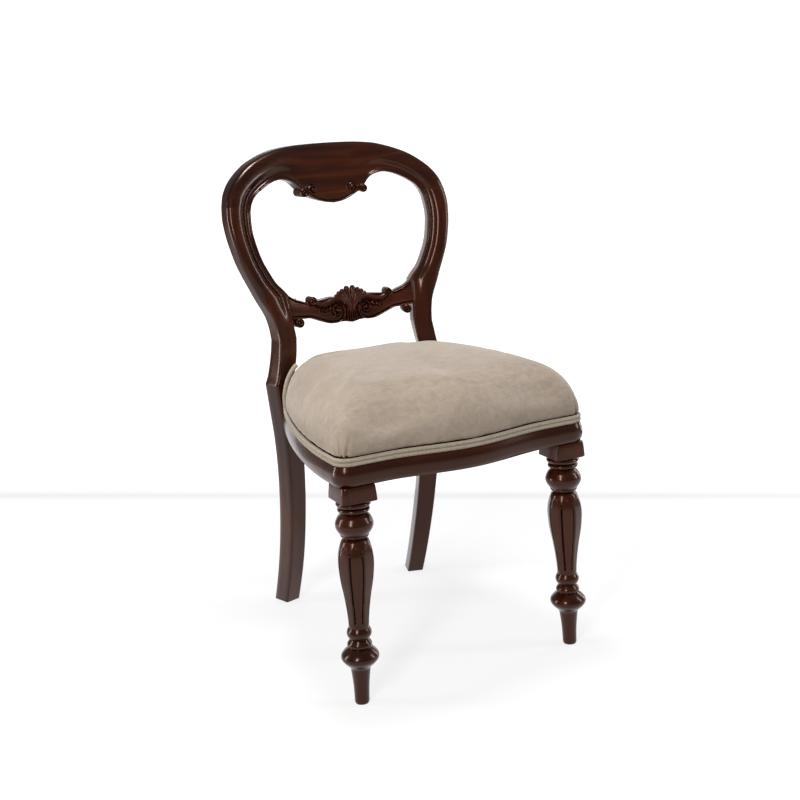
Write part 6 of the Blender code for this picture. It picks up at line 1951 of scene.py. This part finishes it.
@dataclass
class Studio:
    """Camera, floor, backdrop and lamps."""

    form: BackForm
    azimuth: float = -26.4356
    elevation: float = 13.6890
    roll: float = -3.1219
    distance: float = 2.29962
    sensor: float = 36.0
    focal_share: float = 1.5408475
    target_setback: float = 0.2
    target_right: float = -0.0068
    target_up: float = 0.43003
    floor_size: float = 14.0
    line_turn: float = -36.38
    line_distance: float = 0.768
    line_reach: float = 0.045
    paper_colour: float = 0.30
    paper_level: float = 0.76
    # Grey of the painted shade line along the floor's far edge.
    seam_shade_level: float = 0.66
    sky_level: float = 0.26
    screen_distance: float = 5.0
    screen_size: tuple[float, float, float] = (3.4, -2.2, 2.4)
    screen_colour: Colour = (0.8, 0.8, 0.8)
    lamps: tuple = (
        ("key", (-2.0, -1.9, 1.9), (0.42, 1.6), 40, 0.45, (1.0, 0.97, 0.92)),
        ("fill", (2.3, -1.3, 1.4), (0.30, 1.6), 18, 0.45, (0.88, 0.94, 1.0)),
        ("left edge", (-2.3, 1.1, 0.8), (0.35, 1.8), 22, 0.6, WHITE),
        ("right edge", (2.5, 0.4, 0.8), (0.25, 1.8), 10, 0.6, WHITE),
        ("top", (0.0, 0.1, 2.6), (0.45, 0.45), 22, 0.45, WHITE),
    )

    def level_axes(self) -> tuple[Vector, Vector, Vector]:
        """Camera's right, up and backward directions before it rolls."""
        a, e = radians(self.azimuth), radians(self.elevation)
        right = Vector((cos(a), sin(a), 0))
        back = Vector((sin(a) * cos(e), -cos(a) * cos(e), sin(e)))
        return right, back.cross(right), back

    def axes(self) -> tuple[Vector, Vector, Vector]:
        """Camera's right, up and backward directions."""
        right, up, back = self.level_axes()
        r = radians(self.roll)
        return right * cos(r) + up * sin(r), up * cos(r) - right * sin(r), back

    def place(self) -> Vector:
        """Camera's place."""
        right, up, back = self.level_axes()
        target = Vector((0, self.target_setback + self.form.shift(), 0))
        target += right * self.target_right + up * self.target_up
        return target + back * self.distance

    def camera(self) -> None:
        """Makes the camera."""
        data = bpy.data.cameras.new("photo_camera")
        data.sensor_width = self.sensor
        data.lens = self.sensor * self.focal_share
        data.clip_end = 50.0
        item = add_object("photo_camera", data)
        right, up, back = self.axes()
        turn = Matrix((right, up, back)).transposed().to_4x4()
        item.matrix_world = Matrix.Translation(self.place()) @ turn
        bpy.context.scene.camera = item

    def lamp(self, name: str, place: Sequence[float], size: tuple[float, float], power: float,
             aim: float, tint: Colour) -> None:
        """Makes one soft lamp.

        Args:
            name: Name of the lamp.
            place: Where it stands.
            size: Its width and height.
            power: Its power in watts.
            aim: Height of the point that it faces, over the frame's origin.
            tint: Its colour.
        """
        data = bpy.data.lights.new(name, "AREA")
        data.shape = "RECTANGLE"
        data.size, data.size_y = size
        data.energy = power
        data.color = tint
        item = add_object(name, data)
        item.location = place
        item.rotation_euler = (Vector(place) - Vector((0, 0, aim))).to_track_quat("Z", "Y").to_euler()

    def paper(self) -> bpy.types.Material:
        """White studio paper, with a faint grey line of painted shade where it would turn up."""
        sheet = ShaderSheet("studio_paper")
        where = sheet.add("ShaderNodeTexCoord")
        split = sheet.add("ShaderNodeSeparateXYZ")
        sheet.link(where.outputs["Object"], split.inputs["Vector"])
        reach = self.line_reach
        span = sheet.add("ShaderNodeMapRange", {"From Min": -reach, "From Max": reach})
        sheet.link(split.outputs["Y"], span.inputs["Value"])
        # The grey band is painted shade where floor and wall would meet.
        white, grey = (self.paper_level,) * 3, (self.seam_shade_level,) * 3
        stops = ((0.10, white), (0.44, grey), (0.56, grey), (0.90, white))
        sheet.tune({
            "Emission Color": sheet.ramp(span.outputs["Result"], stops),
            "Emission Strength": self.seen_ray(sheet),
            "Base Color": (*(self.paper_colour,) * 3, 1.0),
            "Roughness": 0.9,
            "Specular IOR Level": 0.0,
        })
        return sheet.material

    def stand(self, name: str, corners: Sequence[Sequence[float]], finish: bpy.types.Material,
              turn: float, distance: float) -> bpy.types.Object:
        """Links a flat sheet of the studio, turned, and moved along its own Y.

        Args:
            name: Name of the sheet.
            corners: Its four corners.
            finish: Its material.
            turn: Turn about the vertical, in degrees.
            distance: How far it stands from the frame's origin.

        Returns:
            The sheet.
        """
        mesh = bpy.data.meshes.new(name)
        mesh.from_pydata(corners, [], [(0, 1, 2, 3)])
        mesh.materials.append(finish)
        item = add_object(name, mesh)
        angle = radians(turn)
        item.rotation_euler = (0, 0, angle)
        item.location = (-sin(angle) * distance, cos(angle) * distance, 0)
        return item

    def floor(self) -> None:
        """Makes the pale floor; its own Y is 0 along the grey line of painted shade."""
        size, far = self.floor_size, self.line_reach
        corners = [(-size, -size, 0), (size, -size, 0), (size, far, 0), (-size, far, 0)]
        item = self.stand("floor", corners, self.paper(), self.line_turn, self.line_distance)

    def backdrop(self) -> None:
        """Makes the white screen that fills the picture behind the floor."""
        sheet = ShaderSheet("white_screen")
        sheet.tune({
            "Base Color": (*self.screen_colour, 1.0),
            "Emission Color": (*WHITE, 1.0),
            "Emission Strength": self.seen_ray(sheet),
        })
        wide, low, high = self.screen_size
        corners = [(-wide, 0, low), (wide, 0, low), (wide, 0, high), (-wide, 0, high)]
        item = self.stand("backdrop", corners, sheet.material, self.azimuth, self.screen_distance)

    def seen_ray(self, sheet: ShaderSheet) -> bpy.types.NodeSocket:
        """Socket that is 1 for camera, glossy and transmission rays."""
        path = sheet.add("ShaderNodeLightPath")
        seen = path.outputs["Is Camera Ray"]
        for name in ("Is Glossy Ray", "Is Transmission Ray"):
            either = sheet.add("ShaderNodeMath", operation="MAXIMUM")
            sheet.link(seen, either.inputs[0])
            sheet.link(path.outputs[name], either.inputs[1])
            seen = either.outputs[0]
        return seen

    def world(self) -> None:
        """Dim grey surroundings that soften the shadows."""
        world = bpy.data.worlds.new("studio")
        bpy.context.scene.world = world
        world.use_nodes = True
        ground = world.node_tree.nodes["Background"]
        ground.inputs["Color"].default_value = (1, 1, 1, 1)
        ground.inputs["Strength"].default_value = self.sky_level

    def build(self) -> None:
        """Sets up the studio."""
        self.camera()
        self.floor()
        self.backdrop()
        self.world()
        for row in self.lamps:
            self.lamp(*row)
        bpy.context.scene.view_settings.view_transform = "Standard"
        LOG.info("studio ready")


def main() -> None:
    """Builds the chair's look, sub-assembly by sub-assembly."""
    logging.basicConfig(level=logging.INFO, format="%(name)s: %(message)s")
    form = BackForm()
    seat = SeatForm(form)
    cushion = Cushion(seat)
    Studio(form).build()
    CarvedBack(form).build()
    FrontLegs(form).build()
    SeatRails(seat).build()
    pad = cushion.build()
    piping = DoublePiping(seat, cushion)
    cushion.clear_cords(pad, piping.runs())
    piping.build()
    UnderSeat(seat).build()
    HiddenTimber().build()


if __name__ == "__main__":
    main()
